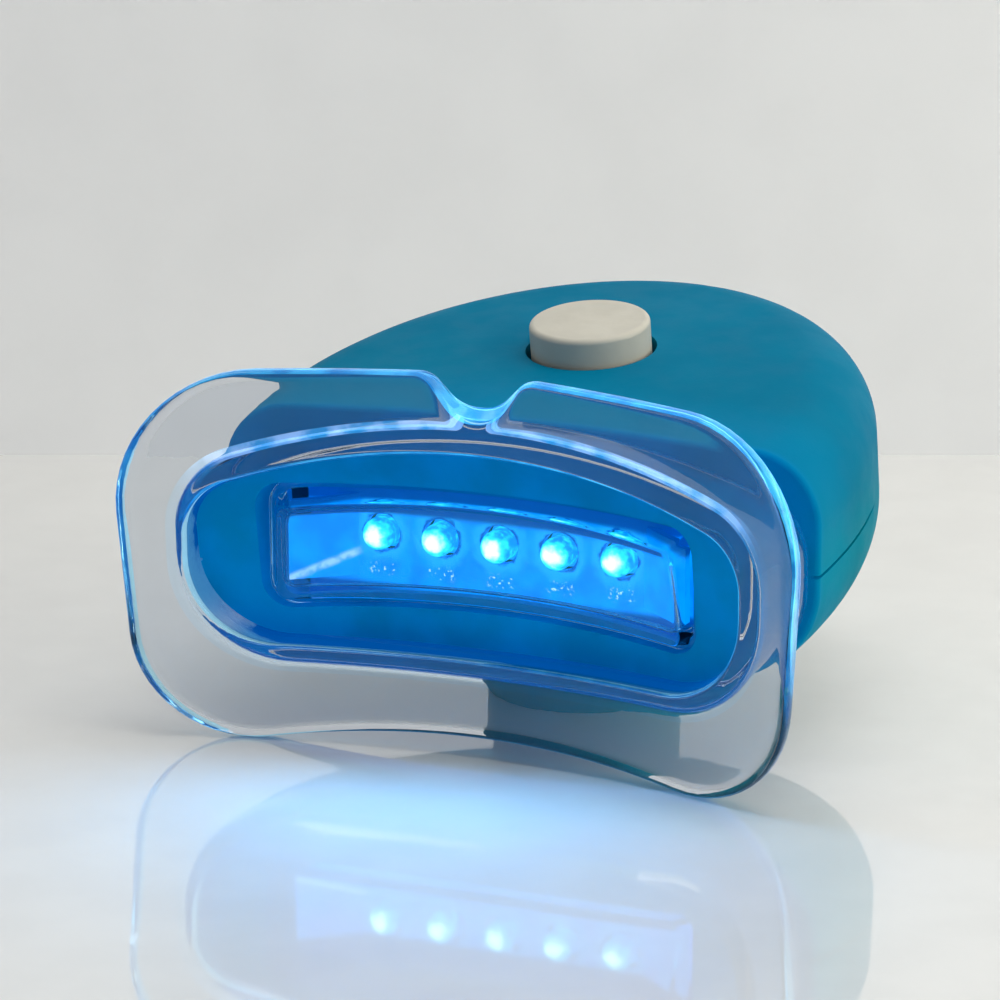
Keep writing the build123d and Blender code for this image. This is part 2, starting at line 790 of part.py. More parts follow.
with BuildPart() as resistor:
    axis_w = board_top + resistor_stand
    wire_radius = resistor_wire / 2
    start = body_plane(axis_w, resistor_v - resistor_reach, resistor_x).origin
    along = Plane(origin=start, x_dir=(1, 0, 0), z_dir=(0, tilt_cos, tilt_sin))
    with BuildSketch(along.offset(resistor_reach - resistor_length / 2)):
        Circle(resistor_diameter / 2)
    extrude(amount=resistor_length)
    fillet(resistor.edges().filter_by(GeomType.CIRCLE), resistor_diameter / 4)
    with BuildSketch(along.offset(-wire_radius)):
        Circle(wire_radius)
    extrude(amount=2 * resistor_reach + resistor_wire)
    for v in (resistor_v - resistor_reach, resistor_v + resistor_reach):
        pin(resistor_x, v, board_top, wire_radius, resistor_stand)
save(resistor, "resistor")

# Wires from the light board to the underside of the main board

lead_end = body_plane(board_bottom, lead_end_v).origin
lead_drop = (lead_end.Z - lead_start_height) / tilt_cos
lead_bend_y = lead_end.Y + lead_drop * tilt_sin
for name, x in (("led_lead_positive", lead_x), ("led_lead_negative", -lead_x)):
    with BuildPart() as lead:
        with BuildLine() as path:
            FilletPolyline(
                (x, led_board_back, lead_start_height),
                (x, lead_bend_y, lead_start_height),
                (x, lead_end.Y, lead_end.Z),
                radius=lead_bend_radius,
            )
        with BuildSketch(Plane(origin=(x, led_board_back, lead_start_height), z_dir=(0, 1, 0))):
            Circle(lead_diameter / 2)
        sweep()
    save(lead, name)

# Three button cells, stacked in the foot

for number, name in enumerate(("lower", "middle", "upper")):
    bottom = cells_bottom + number * cell_height
    with BuildPart() as cell:
        foot_disc(bottom, bottom + cell_step, cell_cup_diameter / 2)
        foot_disc(bottom + cell_step, bottom + cell_height, cell_diameter / 2)
        rims = cell.edges().filter_by(GeomType.CIRCLE).group_by(Edge.length)[-1]
        fillet(rims, cell_edge_round)
    save(cell, f"battery_cell_{name}")

# Contact strips of the cell stack

with BuildPart() as battery_top_contact:
    foot_disc(cells_top, cells_top + contact_thickness, top_contact_radius)
    level_boxes(cells_top, board_under_z(foot_y) + cut_margin, contact_width, contact_thickness,
                [(0, foot_y - top_contact_tab)])
    tilted_box(0, button_v, board_bottom, main_board_width, 2 * main_board_length, body_top, Mode.SUBTRACT)
save(battery_top_contact, "battery_top_contact")

with BuildPart() as battery_side_contact:
    strip_back = well_radius + contact_slot
    level_boxes(ledge_height + seat_gap, 2 * cells_top, contact_width, contact_thickness,
                [(0, foot_y + strip_back - contact_thickness / 2)])
    level_boxes(cap_top + contact_thickness + contact_gap, cap_top + 2 * contact_thickness + contact_gap,
                contact_width, contact_tongue,
                [(0, foot_y + strip_back - contact_thickness - contact_tongue / 2 + seat_gap)])
    tilted_box(0, button_v, board_bottom, main_board_width, 2 * main_board_length, 2 * body_top,
               Mode.SUBTRACT)
save(battery_side_contact, "battery_side_contact")

# Cap with coin slot and bayonet lugs, its contact and its seal

with BuildPart() as battery_cap:
    foot_disc(cap_recess, cap_top, cap_diameter / 2)
    chamfer(battery_cap.edges().sort_by(Axis.Z)[0], cap_edge)
    foot_lugs(cap_top - lug_thickness, cap_top, cap_diameter / 2 + lug_reach, lug_width, 0)
    level_boxes(0, cap_recess + coin_slot_depth, coin_slot_length, coin_slot_width, [(0, foot_y)],
                Mode.SUBTRACT)
save(battery_cap, "battery_cap")

with BuildPart() as cap_contact:
    foot_disc(cap_top, cap_top + contact_thickness, cap_contact_radius)
    foot_disc(cap_top, cells_bottom - contact_gap, cap_contact_crown)
save(cap_contact, "cap_contact")

with BuildPart() as cap_seal:
    foot_disc(cap_top, cap_top + seal_thickness, cap_diameter / 2)
    foot_disc(cap_top, cap_top + seal_thickness, seal_hole_diameter / 2, Mode.SUBTRACT)
save(cap_seal, "cap_seal")

# Screws


def screw(x, v, seat, head_radius, head_height, shank_radius, length):
    """Pan head screw driven upwards, with a cross recess in its head."""
    pin(x, v, seat - head_height, head_radius, head_height)
    pin(x, v, seat, shank_radius, length)
    for size in ((cross_width, cross_length), (cross_length, cross_width)):
        tilted_box(x, v, seat - head_height, size[0], size[1], cross_depth, Mode.SUBTRACT)


with BuildPart() as case_screws:
    for x, v in case_screws_at:
        screw(x, v, -case_screw_depth, screw_head_diameter / 2, screw_head_height,
              screw_diameter / 2, screw_length)
save(case_screws, "case_screws")

with BuildPart() as board_screws:
    for x, v in board_screws_at:
        screw(x, v, board_bottom, board_screw_head / 2, board_screw_head_height,
              board_screw_diameter / 2, board_screw_length)
save(board_screws, "board_screws")

print(f"origin is {origin_y:.4f} mm behind the middle of the shield's front")
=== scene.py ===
# %% [markdown]
# # Teeth whitening lamp
# A small battery lamp stands on a white table: a teal egg shaped casing on a round foot, an
# off-white push button, a row of five lit blue lights behind a clear window, and a clear lip
# shield whose sleeve slides over the casing's nose.
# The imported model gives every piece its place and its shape. This file gives the pieces their
# finishes, and moulds the two clear pieces again as smooth meshes, because clear plastic bends
# light and so shows every facet.

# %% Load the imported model
import bmesh
import bpy
from math import atan2, cos, degrees, pi, radians, sin, sqrt
from mathutils import Matrix, Vector


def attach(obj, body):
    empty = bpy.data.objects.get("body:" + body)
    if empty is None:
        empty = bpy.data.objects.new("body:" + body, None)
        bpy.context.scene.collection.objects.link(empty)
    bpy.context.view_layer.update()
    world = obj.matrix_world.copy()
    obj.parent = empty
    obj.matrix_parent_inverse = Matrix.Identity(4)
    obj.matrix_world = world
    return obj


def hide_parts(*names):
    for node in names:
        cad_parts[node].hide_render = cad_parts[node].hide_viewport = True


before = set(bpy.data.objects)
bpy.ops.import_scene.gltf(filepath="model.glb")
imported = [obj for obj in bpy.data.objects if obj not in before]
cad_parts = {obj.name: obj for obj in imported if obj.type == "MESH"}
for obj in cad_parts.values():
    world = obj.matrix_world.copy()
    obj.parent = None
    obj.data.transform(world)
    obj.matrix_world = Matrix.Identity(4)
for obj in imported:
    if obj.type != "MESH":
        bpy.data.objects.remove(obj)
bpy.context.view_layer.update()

# %% [markdown]
# ## Drawing frame
# The clear pieces are drawn in millimetres with Y = 0 at the middle of the shield's front,
# because their sizes are all measured from that curved face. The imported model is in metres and
# has its origin under the middle of the whole lamp. The finished objects could be scaled and
# moved into it, but their shaders would then no longer work in real sizes, so each drawn point
# is turned into a point of the model as the mesh is made.

# %% Drawing frame
ORIGIN_Y = 23.9883
SHIELD_RADIUS = 82.4


def to_model(x, y, z):
    """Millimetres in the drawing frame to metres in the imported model."""
    return Vector((x / 1000, (y - ORIGIN_Y) / 1000, z / 1000))


def ring_y(x, depth):
    """Y of the upright cylinder that lies depth behind the shield's front surface."""
    return -SHIELD_RADIUS + sqrt((SHIELD_RADIUS + depth) ** 2 - x * x)


print("the shield's curve comes forward by", round(-ring_y(30, 0), 2), "mm at 30 mm to the side")

# %% [markdown]
# ## Lines to mould along
# Both clear pieces are swept along closed outlines of straight stretches and round corners.
# Blender's own curves could hold them, but plain lists of points let two outlines have the same
# count, so that the faces between them run evenly. Points at even distances serve the same end:
# uneven faces show as ripples in clear plastic.

# %% Arcs, even points and mirror images
def arc(centre, radius, start, end, steps):
    """Points of a circular arc between two angles in degrees, both ends included."""
    angles = [radians(start + (end - start) * i / steps) for i in range(steps + 1)]
    return [(centre[0] + radius * cos(a), centre[1] + radius * sin(a)) for a in angles]


def spread(points, count):
    """Points at even distances along a polyline, both ends included."""
    lengths = [0.0]
    for (x0, z0), (x1, z1) in zip(points, points[1:]):
        lengths.append(lengths[-1] + sqrt((x1 - x0) ** 2 + (z1 - z0) ** 2))
    out, k = [], 0
    for i in range(count + 1):
        target = lengths[-1] * i / count
        while k < len(lengths) - 2 and lengths[k + 1] < target:
            k += 1
        span = lengths[k + 1] - lengths[k] or 1.0
        f = (target - lengths[k]) / span
        out.append((points[k][0] + (points[k + 1][0] - points[k][0]) * f,
                    points[k][1] + (points[k + 1][1] - points[k][1]) * f))
    return out


def mirrored(half):
    """Close a right half, drawn from bottom middle to top middle, with its mirror image."""
    return half + [(-x, z) for x, z in reversed(half[1:-1])]


print("a line 10 mm long in four even steps", spread([(0, 0), (10, 0)], 4))

# %% [markdown]
# ## Neck outline
# The opening in the middle of the shield is a flat bottomed arch that fits round the nose. A
# scaled copy of the nose would do for a loose fit, but its rounds would grow with it. So it is
# drawn from its own sizes, and only its right half, since both sides are the same.

# %% Neck outline
FLOOR_STEPS, CORNER_STEPS, SIDE_STEPS, TOP_STEPS = 26, 14, 10, 52


def neck_half():
    """Right half of the neck opening, from bottom middle to top middle."""
    half, floor, crown, radius = 26.8, 9.1, 28.0, 73.0
    low_round, high_round = 8.0, 5.0
    arch_centre = crown - radius
    high_x = half - high_round
    high_z = arch_centre + sqrt((radius - high_round) ** 2 - high_x ** 2)
    turn = degrees(atan2(high_z - arch_centre, high_x))
    bottom = spread([(0, floor), (half - low_round, floor)], FLOOR_STEPS)
    low = arc((half - low_round, floor + low_round), low_round, -90, 0, CORNER_STEPS)
    side = spread([(half, floor + low_round), (half, high_z)], SIDE_STEPS)
    high = arc((high_x, high_z), high_round, 0, turn, CORNER_STEPS)
    top = arc((0, arch_centre), radius, turn, 90, TOP_STEPS)
    return bottom + low[1:] + side[1:] + high[1:] + top[1:]


neck = mirrored(neck_half())
print("neck outline", len(neck), "points, half width", round(max(x for x, _ in neck), 2), "mm")

# %% [markdown]
# ## Shield outline
# The shield is wide and rounded, with a shallow arch along its lower edge and sides that lean
# out a little. A notch in its upper edge leaves room for the small fold of skin under the upper
# lip. It could be traced by eye. Arcs that touch each other, as on a mould maker's drawing, are
# used instead, so that no corner has a kink.
# The counts of points are the neck's, stretch by stretch, so that point i here lies straight
# out from point i of the neck.

# %% Shield sizes
SHIELD_WIDTH, SHIELD_HEIGHT = 66.0, 35.2
ARCH_RISE, ARCH_HALF = 1.78, 21.0
LOW_HALF, HIGH_HALF, SHOULDER = SHIELD_WIDTH / 2 - 1.8, SHIELD_WIDTH / 2 + 0.8, SHIELD_HEIGHT - 1.3
LOW_ROUND, HIGH_ROUND = 10.5, 12.5
NOTCH_HALF, NOTCH_LOW_HALF, NOTCH_DEPTH = 4.9, 1.7, 3.5
NOTCH_ROUND, BOWL_ROUND, NOTCH_STEPS = 2.4, 3.4, 12
TOP_FALL = atan2(SHIELD_HEIGHT - SHOULDER, HIGH_HALF - NOTCH_HALF)
print("the top edge falls by", round(degrees(TOP_FALL), 2), "degrees towards the side")

# %% Lower edge and corner
CORNER_TRIES = 30


def lower_edge():
    """The arch of the lower edge, the corner beside it, and how far the side leans out."""
    arch_radius = (ARCH_HALF ** 2 + ARCH_RISE ** 2) / (2 * ARCH_RISE)
    arch_centre = ARCH_RISE - arch_radius
    arch_end = arch_centre + sqrt(arch_radius ** 2 - LOW_HALF ** 2)
    lean = atan2(HIGH_HALF - LOW_HALF, SHOULDER - arch_end)
    # the corner touches the arch from outside and the leaning side from inside
    cz = arch_end + LOW_ROUND
    for _ in range(CORNER_TRIES):
        cx = LOW_HALF + (cz - arch_end) * sin(lean) / cos(lean) - LOW_ROUND / cos(lean)
        cz = arch_centre + sqrt((arch_radius + LOW_ROUND) ** 2 - cx ** 2)
    toward_arch = degrees(atan2(arch_centre - cz, -cx))
    corner = arc((cx, cz), LOW_ROUND, toward_arch, -degrees(lean), CORNER_STEPS)
    foot_turn = degrees(atan2(corner[0][1] - arch_centre, corner[0][0]))
    arch = arc((0, arch_centre), arch_radius, 90, foot_turn, FLOOR_STEPS)
    return arch, corner, lean


arch_line, low_corner, side_lean = lower_edge()
print("the side leans out by", round(degrees(side_lean), 2), "degrees")

# %% Upper corner
def upper_corner(lean):
    """Corner between the leaning side and the top edge, which falls towards the side."""
    side_dir = (sin(lean), cos(lean))
    top_dir = (-cos(TOP_FALL), sin(TOP_FALL))
    inward_side = (-side_dir[1], side_dir[0])
    inward_top = (-top_dir[1], top_dir[0])
    det = inward_side[0] * inward_top[1] - inward_side[1] * inward_top[0]
    a = inward_side[0] * HIGH_HALF + inward_side[1] * SHOULDER + HIGH_ROUND
    b = inward_top[0] * HIGH_HALF + inward_top[1] * SHOULDER + HIGH_ROUND
    hx = (a * inward_top[1] - inward_side[1] * b) / det
    hz = (inward_side[0] * b - a * inward_top[0]) / det
    return arc((hx, hz), HIGH_ROUND, -degrees(lean), 90 - degrees(TOP_FALL), CORNER_STEPS)


high_corner = upper_corner(side_lean)
print("the upper corner ends", round(high_corner[-1][1], 2), "mm above the table")

# %% Notch
def notch_line():
    """The notch, from its rounded shoulder to the middle of its rounded bottom."""
    slope = atan2(NOTCH_DEPTH, NOTCH_HALF - NOTCH_LOW_HALF)
    turn_in = slope - TOP_FALL
    tangent = NOTCH_ROUND * sin(turn_in / 2) / cos(turn_in / 2)
    sx, sz = NOTCH_HALF + tangent * cos(TOP_FALL), SHIELD_HEIGHT - tangent * sin(TOP_FALL)
    start = 90 - degrees(TOP_FALL)
    centre = (sx - NOTCH_ROUND * cos(radians(start)), sz - NOTCH_ROUND * sin(radians(start)))
    shoulder = arc(centre, NOTCH_ROUND, start, start + degrees(turn_in), NOTCH_STEPS)
    low_tangent = BOWL_ROUND * sin(slope / 2) / cos(slope / 2)
    bottom_z = SHIELD_HEIGHT - NOTCH_DEPTH
    low_centre = (NOTCH_LOW_HALF - low_tangent, bottom_z + BOWL_ROUND)
    bowl = arc(low_centre, BOWL_ROUND, degrees(slope) - 90, -90, NOTCH_STEPS)
    return shoulder + bowl + [(0, bottom_z)]


side_line = spread([low_corner[-1], high_corner[0]], SIDE_STEPS)
top_line = spread([high_corner[-1]] + notch_line(), TOP_STEPS)
shield = mirrored(arch_line + low_corner[1:] + side_line[1:] + high_corner[1:] + top_line[1:])
shield_half_width = max(x for x, _ in shield)
print("shield outline", len(shield), "points, half width", round(shield_half_width, 2), "mm")

# %% [markdown]
# ## Mouthpiece
# The shield and its sleeve are one clear moulding. Cut from a block, it would have creases
# where the cuts meet. So its cross-section is drawn as one closed line, which starts inside the
# sleeve, runs out over the front of the shield, round the soft outer edge, back over the rear
# face and along the outside of the sleeve. The mesh sweeps that line round the neck, so it has
# only four sided faces and shades without a break.
# The edge of the notch slopes a little, so that it is lower in front than behind.

# %% Mouthpiece section
SHIELD_THICKNESS, EDGE_ROUND, FRONT_LIMIT = 2.4, 1.0, -6.34
SLEEVE_WALL, SLEEVE_END = 1.8, 8.4
OPENING_ROUND, ROOT_ROUND, END_ROUND = 0.5, 0.7, 0.4
ROUND_STEPS, FACE_STEPS, SLEEVE_STEPS = 6, 14, 9
NOTCH_REACH, NOTCH_SLOPE = 5.2, 0.15
QUARTER = [pi / 2 * k / ROUND_STEPS for k in range(ROUND_STEPS + 1)]


def shares(steps):
    """Even shares of a way, without its ends."""
    return [k / steps for k in range(1, steps)]


def moulding_section(i, neck_normals, shield_normals):
    """Closed cross-section of the moulding at outline point i."""
    nx, nz = neck[i]
    ux, uz = neck_normals[i]
    sx, sz = shield[i]
    vx, vz = shield_normals[i]
    line = []

    def on_neck(out, y):
        line.append((nx + ux * out, y, nz + uz * out))

    def on_ring(x, z, depth):
        line.append((x, max(ring_y(x, depth), FRONT_LIMIT), z))

    # the end of the sleeve, the bore and the round at its opening
    for a in QUARTER:
        on_neck(END_ROUND * (1 - sin(a)), SLEEVE_END - END_ROUND * (1 - cos(a)))
    front = ring_y(nx, 0)
    for f in shares(SLEEVE_STEPS):
        on_neck(0, SLEEVE_END - END_ROUND + (front + OPENING_ROUND - SLEEVE_END + END_ROUND) * f)
    for a in QUARTER:
        out = OPENING_ROUND * (1 - cos(a))
        on_ring(nx + ux * out, nz + uz * out, OPENING_ROUND * (1 - sin(a)))
    # the front face and the outer edge
    dip = max(0.0, SHIELD_HEIGHT - sz) if abs(sx) < NOTCH_REACH and sz > nz else 0.0
    front_z, back_z = sz - NOTCH_SLOPE * dip, sz + NOTCH_SLOPE * dip
    inner = (nx + ux * OPENING_ROUND, nz + uz * OPENING_ROUND)
    outer = (sx - vx * EDGE_ROUND, front_z - vz * EDGE_ROUND)
    for f in shares(FACE_STEPS):
        on_ring(inner[0] + (outer[0] - inner[0]) * f, inner[1] + (outer[1] - inner[1]) * f, 0)
    for a in QUARTER:
        back = EDGE_ROUND * (1 - sin(a))
        on_ring(sx - vx * back, front_z - vz * back, EDGE_ROUND * (1 - cos(a)))
    for a in QUARTER:
        back = EDGE_ROUND * (1 - cos(a))
        on_ring(sx - vx * back, back_z - vz * back, SHIELD_THICKNESS - EDGE_ROUND * (1 - sin(a)))
    # the rear face and the round at the sleeve's root
    outer = (sx - vx * EDGE_ROUND, back_z - vz * EDGE_ROUND)
    root = (nx + ux * (SLEEVE_WALL + ROOT_ROUND), nz + uz * (SLEEVE_WALL + ROOT_ROUND))
    for f in shares(FACE_STEPS):
        on_ring(outer[0] + (root[0] - outer[0]) * f, outer[1] + (root[1] - outer[1]) * f,
                SHIELD_THICKNESS)
    for a in QUARTER:
        out = SLEEVE_WALL + ROOT_ROUND * (1 - sin(a))
        on_ring(nx + ux * out, nz + uz * out, SHIELD_THICKNESS + ROOT_ROUND * (1 - cos(a)))
    # the outside of the sleeve, back to its end
    start = line[-1][1]
    for f in shares(SLEEVE_STEPS):
        on_neck(SLEEVE_WALL, start + (SLEEVE_END - END_ROUND - start) * f)
    for a in QUARTER:
        on_neck(SLEEVE_WALL - END_ROUND * (1 - cos(a)), SLEEVE_END - END_ROUND * (1 - sin(a)))
    return line


print("the sleeve ends", SLEEVE_END, "mm behind the middle of the shield's front")

# %% Mouthpiece lines
def outward_normals(loop):
    """Unit normals that point out of a loop drawn anticlockwise."""
    normals = []
    for i, _ in enumerate(loop):
        x0, z0 = loop[i - 1]
        x1, z1 = loop[(i + 1) % len(loop)]
        dx, dz = x1 - x0, z1 - z0
        length = sqrt(dx * dx + dz * dz)
        normals.append((dz / length, -dx / length))
    return normals


neck_normals = outward_normals(neck)
shield_normals = outward_normals(shield)
sections = [moulding_section(i, neck_normals, shield_normals) for i in range(len(neck))]
ring = len(sections[0])
print("sections", len(sections), "of", ring, "points")

# %% Mouthpiece mesh
def swept_faces(count, length, closed):
    """Four sided faces between neighbouring lines of a sweep whose last line meets its first."""
    faces = []
    for i in range(count):
        j = (i + 1) % count
        for k in range(length if closed else length - 1):
            m = (k + 1) % length
            faces.append((i * length + k, i * length + m, j * length + m, j * length + k))
    return faces


def mesh_object(name, vertices, faces):
    """Smooth shaded, closed mesh object from points in the drawing frame."""
    mesh = bpy.data.meshes.new(name)
    mesh.from_pydata([to_model(*v) for v in vertices], [], faces)
    shape = bmesh.new()
    shape.from_mesh(mesh)
    bmesh.ops.recalc_face_normals(shape, faces=shape.faces)
    shape.to_mesh(mesh)
    shape.free()
    for polygon in mesh.polygons:
        polygon.use_smooth = True
    piece = bpy.data.objects.new(name, mesh)
    bpy.context.scene.collection.objects.link(piece)
    return piece


section_points = [point for section in sections for point in section]
mouthpiece = mesh_object("mouthpiece_moulding", section_points,
                         swept_faces(len(sections), ring, closed=True))
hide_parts("mouthpiece")
print("mouthpiece faces", len(mouthpiece.data.polygons))

# %% [markdown]
# ## Window lens
# The clear box in front of the lights has a front that curves with the shield and leans back
# with the casing, sides that flare towards the back, and a thin collar that lies in a recess of
# the nose. It is hollow and open behind. A box with subdivision would round all of its edges
# alike. Here each line of the mesh runs from the front's edge down the outside, round the
# collar and up the inside, so every bend has its own size, and two grids close the front.

# %% Lens outlines
LENS_STEPS, LENS_CORNER_STEPS, LENS_SIDE_STEPS = 40, 8, 10
LENS_LOW_RISE, LENS_HIGH_RISE, LENS_CORNER = 1.2, 0.6, 1.0
LENS_RIM_Y, LENS_HALF, LENS_LOW, LENS_HIGH = -1.0, 19.3, 12.8, 21.7
FLARE_SIDE, FLARE_LOW, FLARE_HIGH = 0.6, 0.1, 0.45
COLLAR_HALF, COLLAR_LOW, COLLAR_HIGH, COLLAR_CORNER = 21.15, 11.75, 23.75, 2.45


def arched_loop(half, low, high, corner):
    """Anticlockwise loop with rounded corners whose long edges arch up in the middle."""
    xs = [(half - corner) * k / LENS_STEPS for k in range(LENS_STEPS + 1)]
    bottom = [(x, low + LENS_LOW_RISE * (1 - (x / half) ** 2)) for x in xs]
    top = [(x, high + LENS_HIGH_RISE * (1 - (x / half) ** 2)) for x in reversed(xs)]
    low_centre = (half - corner, bottom[-1][1] + corner)
    high_centre = (half - corner, top[0][1] - corner)
    low_arc = arc(low_centre, corner, -90, 0, LENS_CORNER_STEPS)
    high_arc = arc(high_centre, corner, 0, 90, LENS_CORNER_STEPS)
    side = spread([low_arc[-1], high_arc[0]], LENS_SIDE_STEPS)
    return mirrored(bottom + low_arc[1:] + side[1:] + high_arc[1:] + top[1:])


def lens_loop(y, inset):
    """Section of the flared box at depth y."""
    depth = y - LENS_RIM_Y
    return arched_loop(LENS_HALF + FLARE_SIDE * depth - inset, LENS_LOW - FLARE_LOW * depth + inset,
                       LENS_HIGH + FLARE_HIGH * depth - inset, LENS_CORNER)


collar = arched_loop(COLLAR_HALF, COLLAR_LOW, COLLAR_HIGH, COLLAR_CORNER)
collar_normals = outward_normals(collar)
print("lines of the lens", len(collar))

# %% Where a wall line meets a surface
TILT = radians(8.5)
FRONT_MIDDLE_Y, FRONT_MIDDLE_Z, SETTLE_TRIES = 1.55, 17.2, 15


def front_y(x, z, depth):
    """Y of the leaning curved front at (x, z), depth behind its outer face."""
    across = sqrt((SHIELD_RADIUS + depth) ** 2 - x * x) - SHIELD_RADIUS
    return FRONT_MIDDLE_Y + (across + (FRONT_MIDDLE_Z - z) * sin(TILT)) / cos(TILT)


def settle(i, inset, y_of):
    """Point where wall line i of the box meets a surface given as y_of(x, z)."""
    y = 1.0
    for _ in range(SETTLE_TRIES):
        x, z = lens_loop(y, inset)[i]
        y = y_of(x, z)
    return x, y, z


print("the lens's front leans back by", round(degrees(TILT), 1), "degrees")

# %% Bends and straight stretches
def bend(a, corner, b, steps=5):
    """Points of a soft bend from a to b round a corner."""
    out = []
    for k in range(steps + 1):
        t = k / steps
        out.append(tuple((1 - t) ** 2 * p + 2 * t * (1 - t) * q + t * t * r
                         for p, q, r in zip(a, corner, b)))
    return out


def between(a, b, steps):
    """Points strictly between a and b."""
    return [tuple(p + (q - p) * k / steps for p, q in zip(a, b)) for k in range(1, steps)]


def toward(a, b, distance):
    """Point at a distance from a on the way to b."""
    span = sqrt(sum((q - p) ** 2 for p, q in zip(a, b)))
    return tuple(p + (q - p) * distance / span for p, q in zip(a, b))


print("middle of a bend", bend((0, 0, 0), (1, 0, 0), (1, 1, 0), 2)[1])

# %% Lens lines
LENS_WALL, COLLAR_FRONT, COLLAR_BACK = 1.2, 3.9, 4.7
FACE_BEND, FOOT_BEND, FOOT_REACH, FOOT_INSET = 0.35, 0.3, 0.2, 0.55
COLLAR_BEND, BACK_BEND, INNER_BEND = 0.15, 0.1, 0.3
WALL_STEPS, FOOT_STEPS, COLLAR_STEPS = 7, 4, 3


def lens_line(i):
    """Line i of the lens, from the edge of its outer front to the edge of its inner front."""
    face = settle(i, FACE_BEND, lambda x, z: front_y(x, z, 0))
    rim = settle(i, 0, lambda x, z: front_y(x, z, 0))
    foot = settle(i, 0, lambda x, z: ring_y(x, COLLAR_FRONT))
    (kx, kz), (nx, nz) = collar[i], collar_normals[i]
    # the foot of the wall stays inside the collar's edge
    over = (foot[0] - kx) * nx + (foot[2] - kz) * nz + FOOT_INSET
    if over > 0:
        x, z = foot[0] - nx * over, foot[2] - nz * over
        foot = (x, ring_y(x, COLLAR_FRONT), z)
    brim = (kx, ring_y(kx, COLLAR_FRONT), kz)
    back = (kx, ring_y(kx, COLLAR_BACK), kz)
    inner_back = settle(i, LENS_WALL, lambda x, z: ring_y(x, COLLAR_BACK))
    inner_rim = settle(i, LENS_WALL, lambda x, z: front_y(x, z, LENS_WALL))
    inner_face = settle(i, LENS_WALL + INNER_BEND, lambda x, z: front_y(x, z, LENS_WALL))
    line = bend(face, rim, toward(rim, foot, FACE_BEND))
    line += between(line[-1], toward(foot, rim, FOOT_BEND), WALL_STEPS)
    line += bend(toward(foot, rim, FOOT_BEND), foot, toward(foot, brim, FOOT_REACH), FOOT_STEPS)
    for before, corner, after in ((foot, brim, back), (brim, back, inner_back)):
        line += bend(toward(corner, before, COLLAR_BEND), corner,
                     toward(corner, after, COLLAR_BEND), COLLAR_STEPS)
    line += between(line[-1], inner_back, COLLAR_STEPS)
    line += bend(toward(inner_back, back, BACK_BEND), inner_back,
                 toward(inner_back, inner_rim, BACK_BEND), COLLAR_STEPS)
    line += between(line[-1], toward(inner_rim, inner_back, INNER_BEND), WALL_STEPS)
    line += bend(toward(inner_rim, inner_back, INNER_BEND), inner_rim, inner_face)
    return line


lines = [lens_line(i) for i in range(len(collar))]
total, long = len(lines), len(lines[0])
lens_points = [point for line in lines for point in line]
lens_faces = swept_faces(total, long, closed=False)
print("lens lines", total, "of", long, "points")

# %% Lens mesh
def close_front(edge, depth):
    """Grid over a front face, bounded by the edge points edge(i)."""
    rows = 2 * LENS_CORNER_STEPS + LENS_SIDE_STEPS
    top_middle = LENS_STEPS * 2 + rows
    columns = []
    for c in range(-LENS_STEPS, LENS_STEPS + 1):
        low, high = (c % total, (top_middle - c) % total)
        x0, _, z0 = lens_points[edge(low)]
        x1, _, z1 = lens_points[edge(high)]
        column = [edge(low)]
        for r in range(1, rows):
            x, z = x0 + (x1 - x0) * r / rows, z0 + (z1 - z0) * r / rows
            lens_points.append((x, front_y(x, z, depth), z))
            column.append(len(lens_points) - 1)
        columns.append(column + [edge(high)])
    right = [edge(LENS_STEPS + r) for r in range(rows + 1)]
    left = [edge((-LENS_STEPS - r) % total) for r in range(rows + 1)]
    for a, b in zip([left] + columns, columns + [right]):
        for r in range(rows):
            corners = []
            for point in (a[r], b[r], b[r + 1], a[r + 1]):
                if point not in corners:
                    corners.append(point)
            if len(corners) > 2:
                lens_faces.append(tuple(corners))


close_front(lambda i: i * long, 0)
close_front(lambda i: i * long + long - 1, LENS_WALL)
lens = mesh_object("window_lens_moulding", lens_points, lens_faces)
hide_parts("window_lens")
print("lens faces", len(lens_faces))

# %% [markdown]
# ## Bodies
# On the real lamp the mouthpiece pulls off the nose, and the lens stays in the casing. Each new
# mesh could be moved by hand for every pose, but it is tied once to the body that carries the
# piece it replaces, and then it follows every pose by itself.

# %% Riding
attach(mouthpiece, "mouthpiece")
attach(lens, "casing")
print("the mouthpiece and the lens ride on their bodies")

# %% [markdown]
# ## Shader helpers
# Pictures of plastic could be wrapped round the pieces, but they would need unwrapping and
# would blur close up. Every finish here is a small set of shader nodes that works from the
# model's own coordinates, in metres, so its grain has a real size and never ends.
# A colour or roughness that is the same all over a surface is set on the shader itself.

# %% Shader nodes
def add(owner, kind, inputs, **settings):
    """One shader node. Its inputs are values, or outputs of other nodes that get linked."""
    made = owner.node_tree.nodes.new("ShaderNode" + kind)
    for key, value in settings.items():
        setattr(made, key, value)
    for key, value in inputs.items():
        if isinstance(value, bpy.types.NodeSocket):
            owner.node_tree.links.new(value, made.inputs[key])
        else:
            made.inputs[key].default_value = value
    return made


def place(material):
    """The point of the surface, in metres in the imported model."""
    return add(material, "TexCoord", {}).outputs["Object"]


def axes(material):
    """X, Y and Z of the point of the surface."""
    split = add(material, "SeparateXYZ", {"Vector": place(material)})
    return [split.outputs[axis] for axis in "XYZ"]


def noise(material, size_mm, detail):
    """Soft noise whose blotches are about size_mm across."""
    inputs = {"Vector": place(material), "Scale": 1000 / size_mm, "Detail": detail}
    return add(material, "TexNoise", inputs).outputs["Fac"]


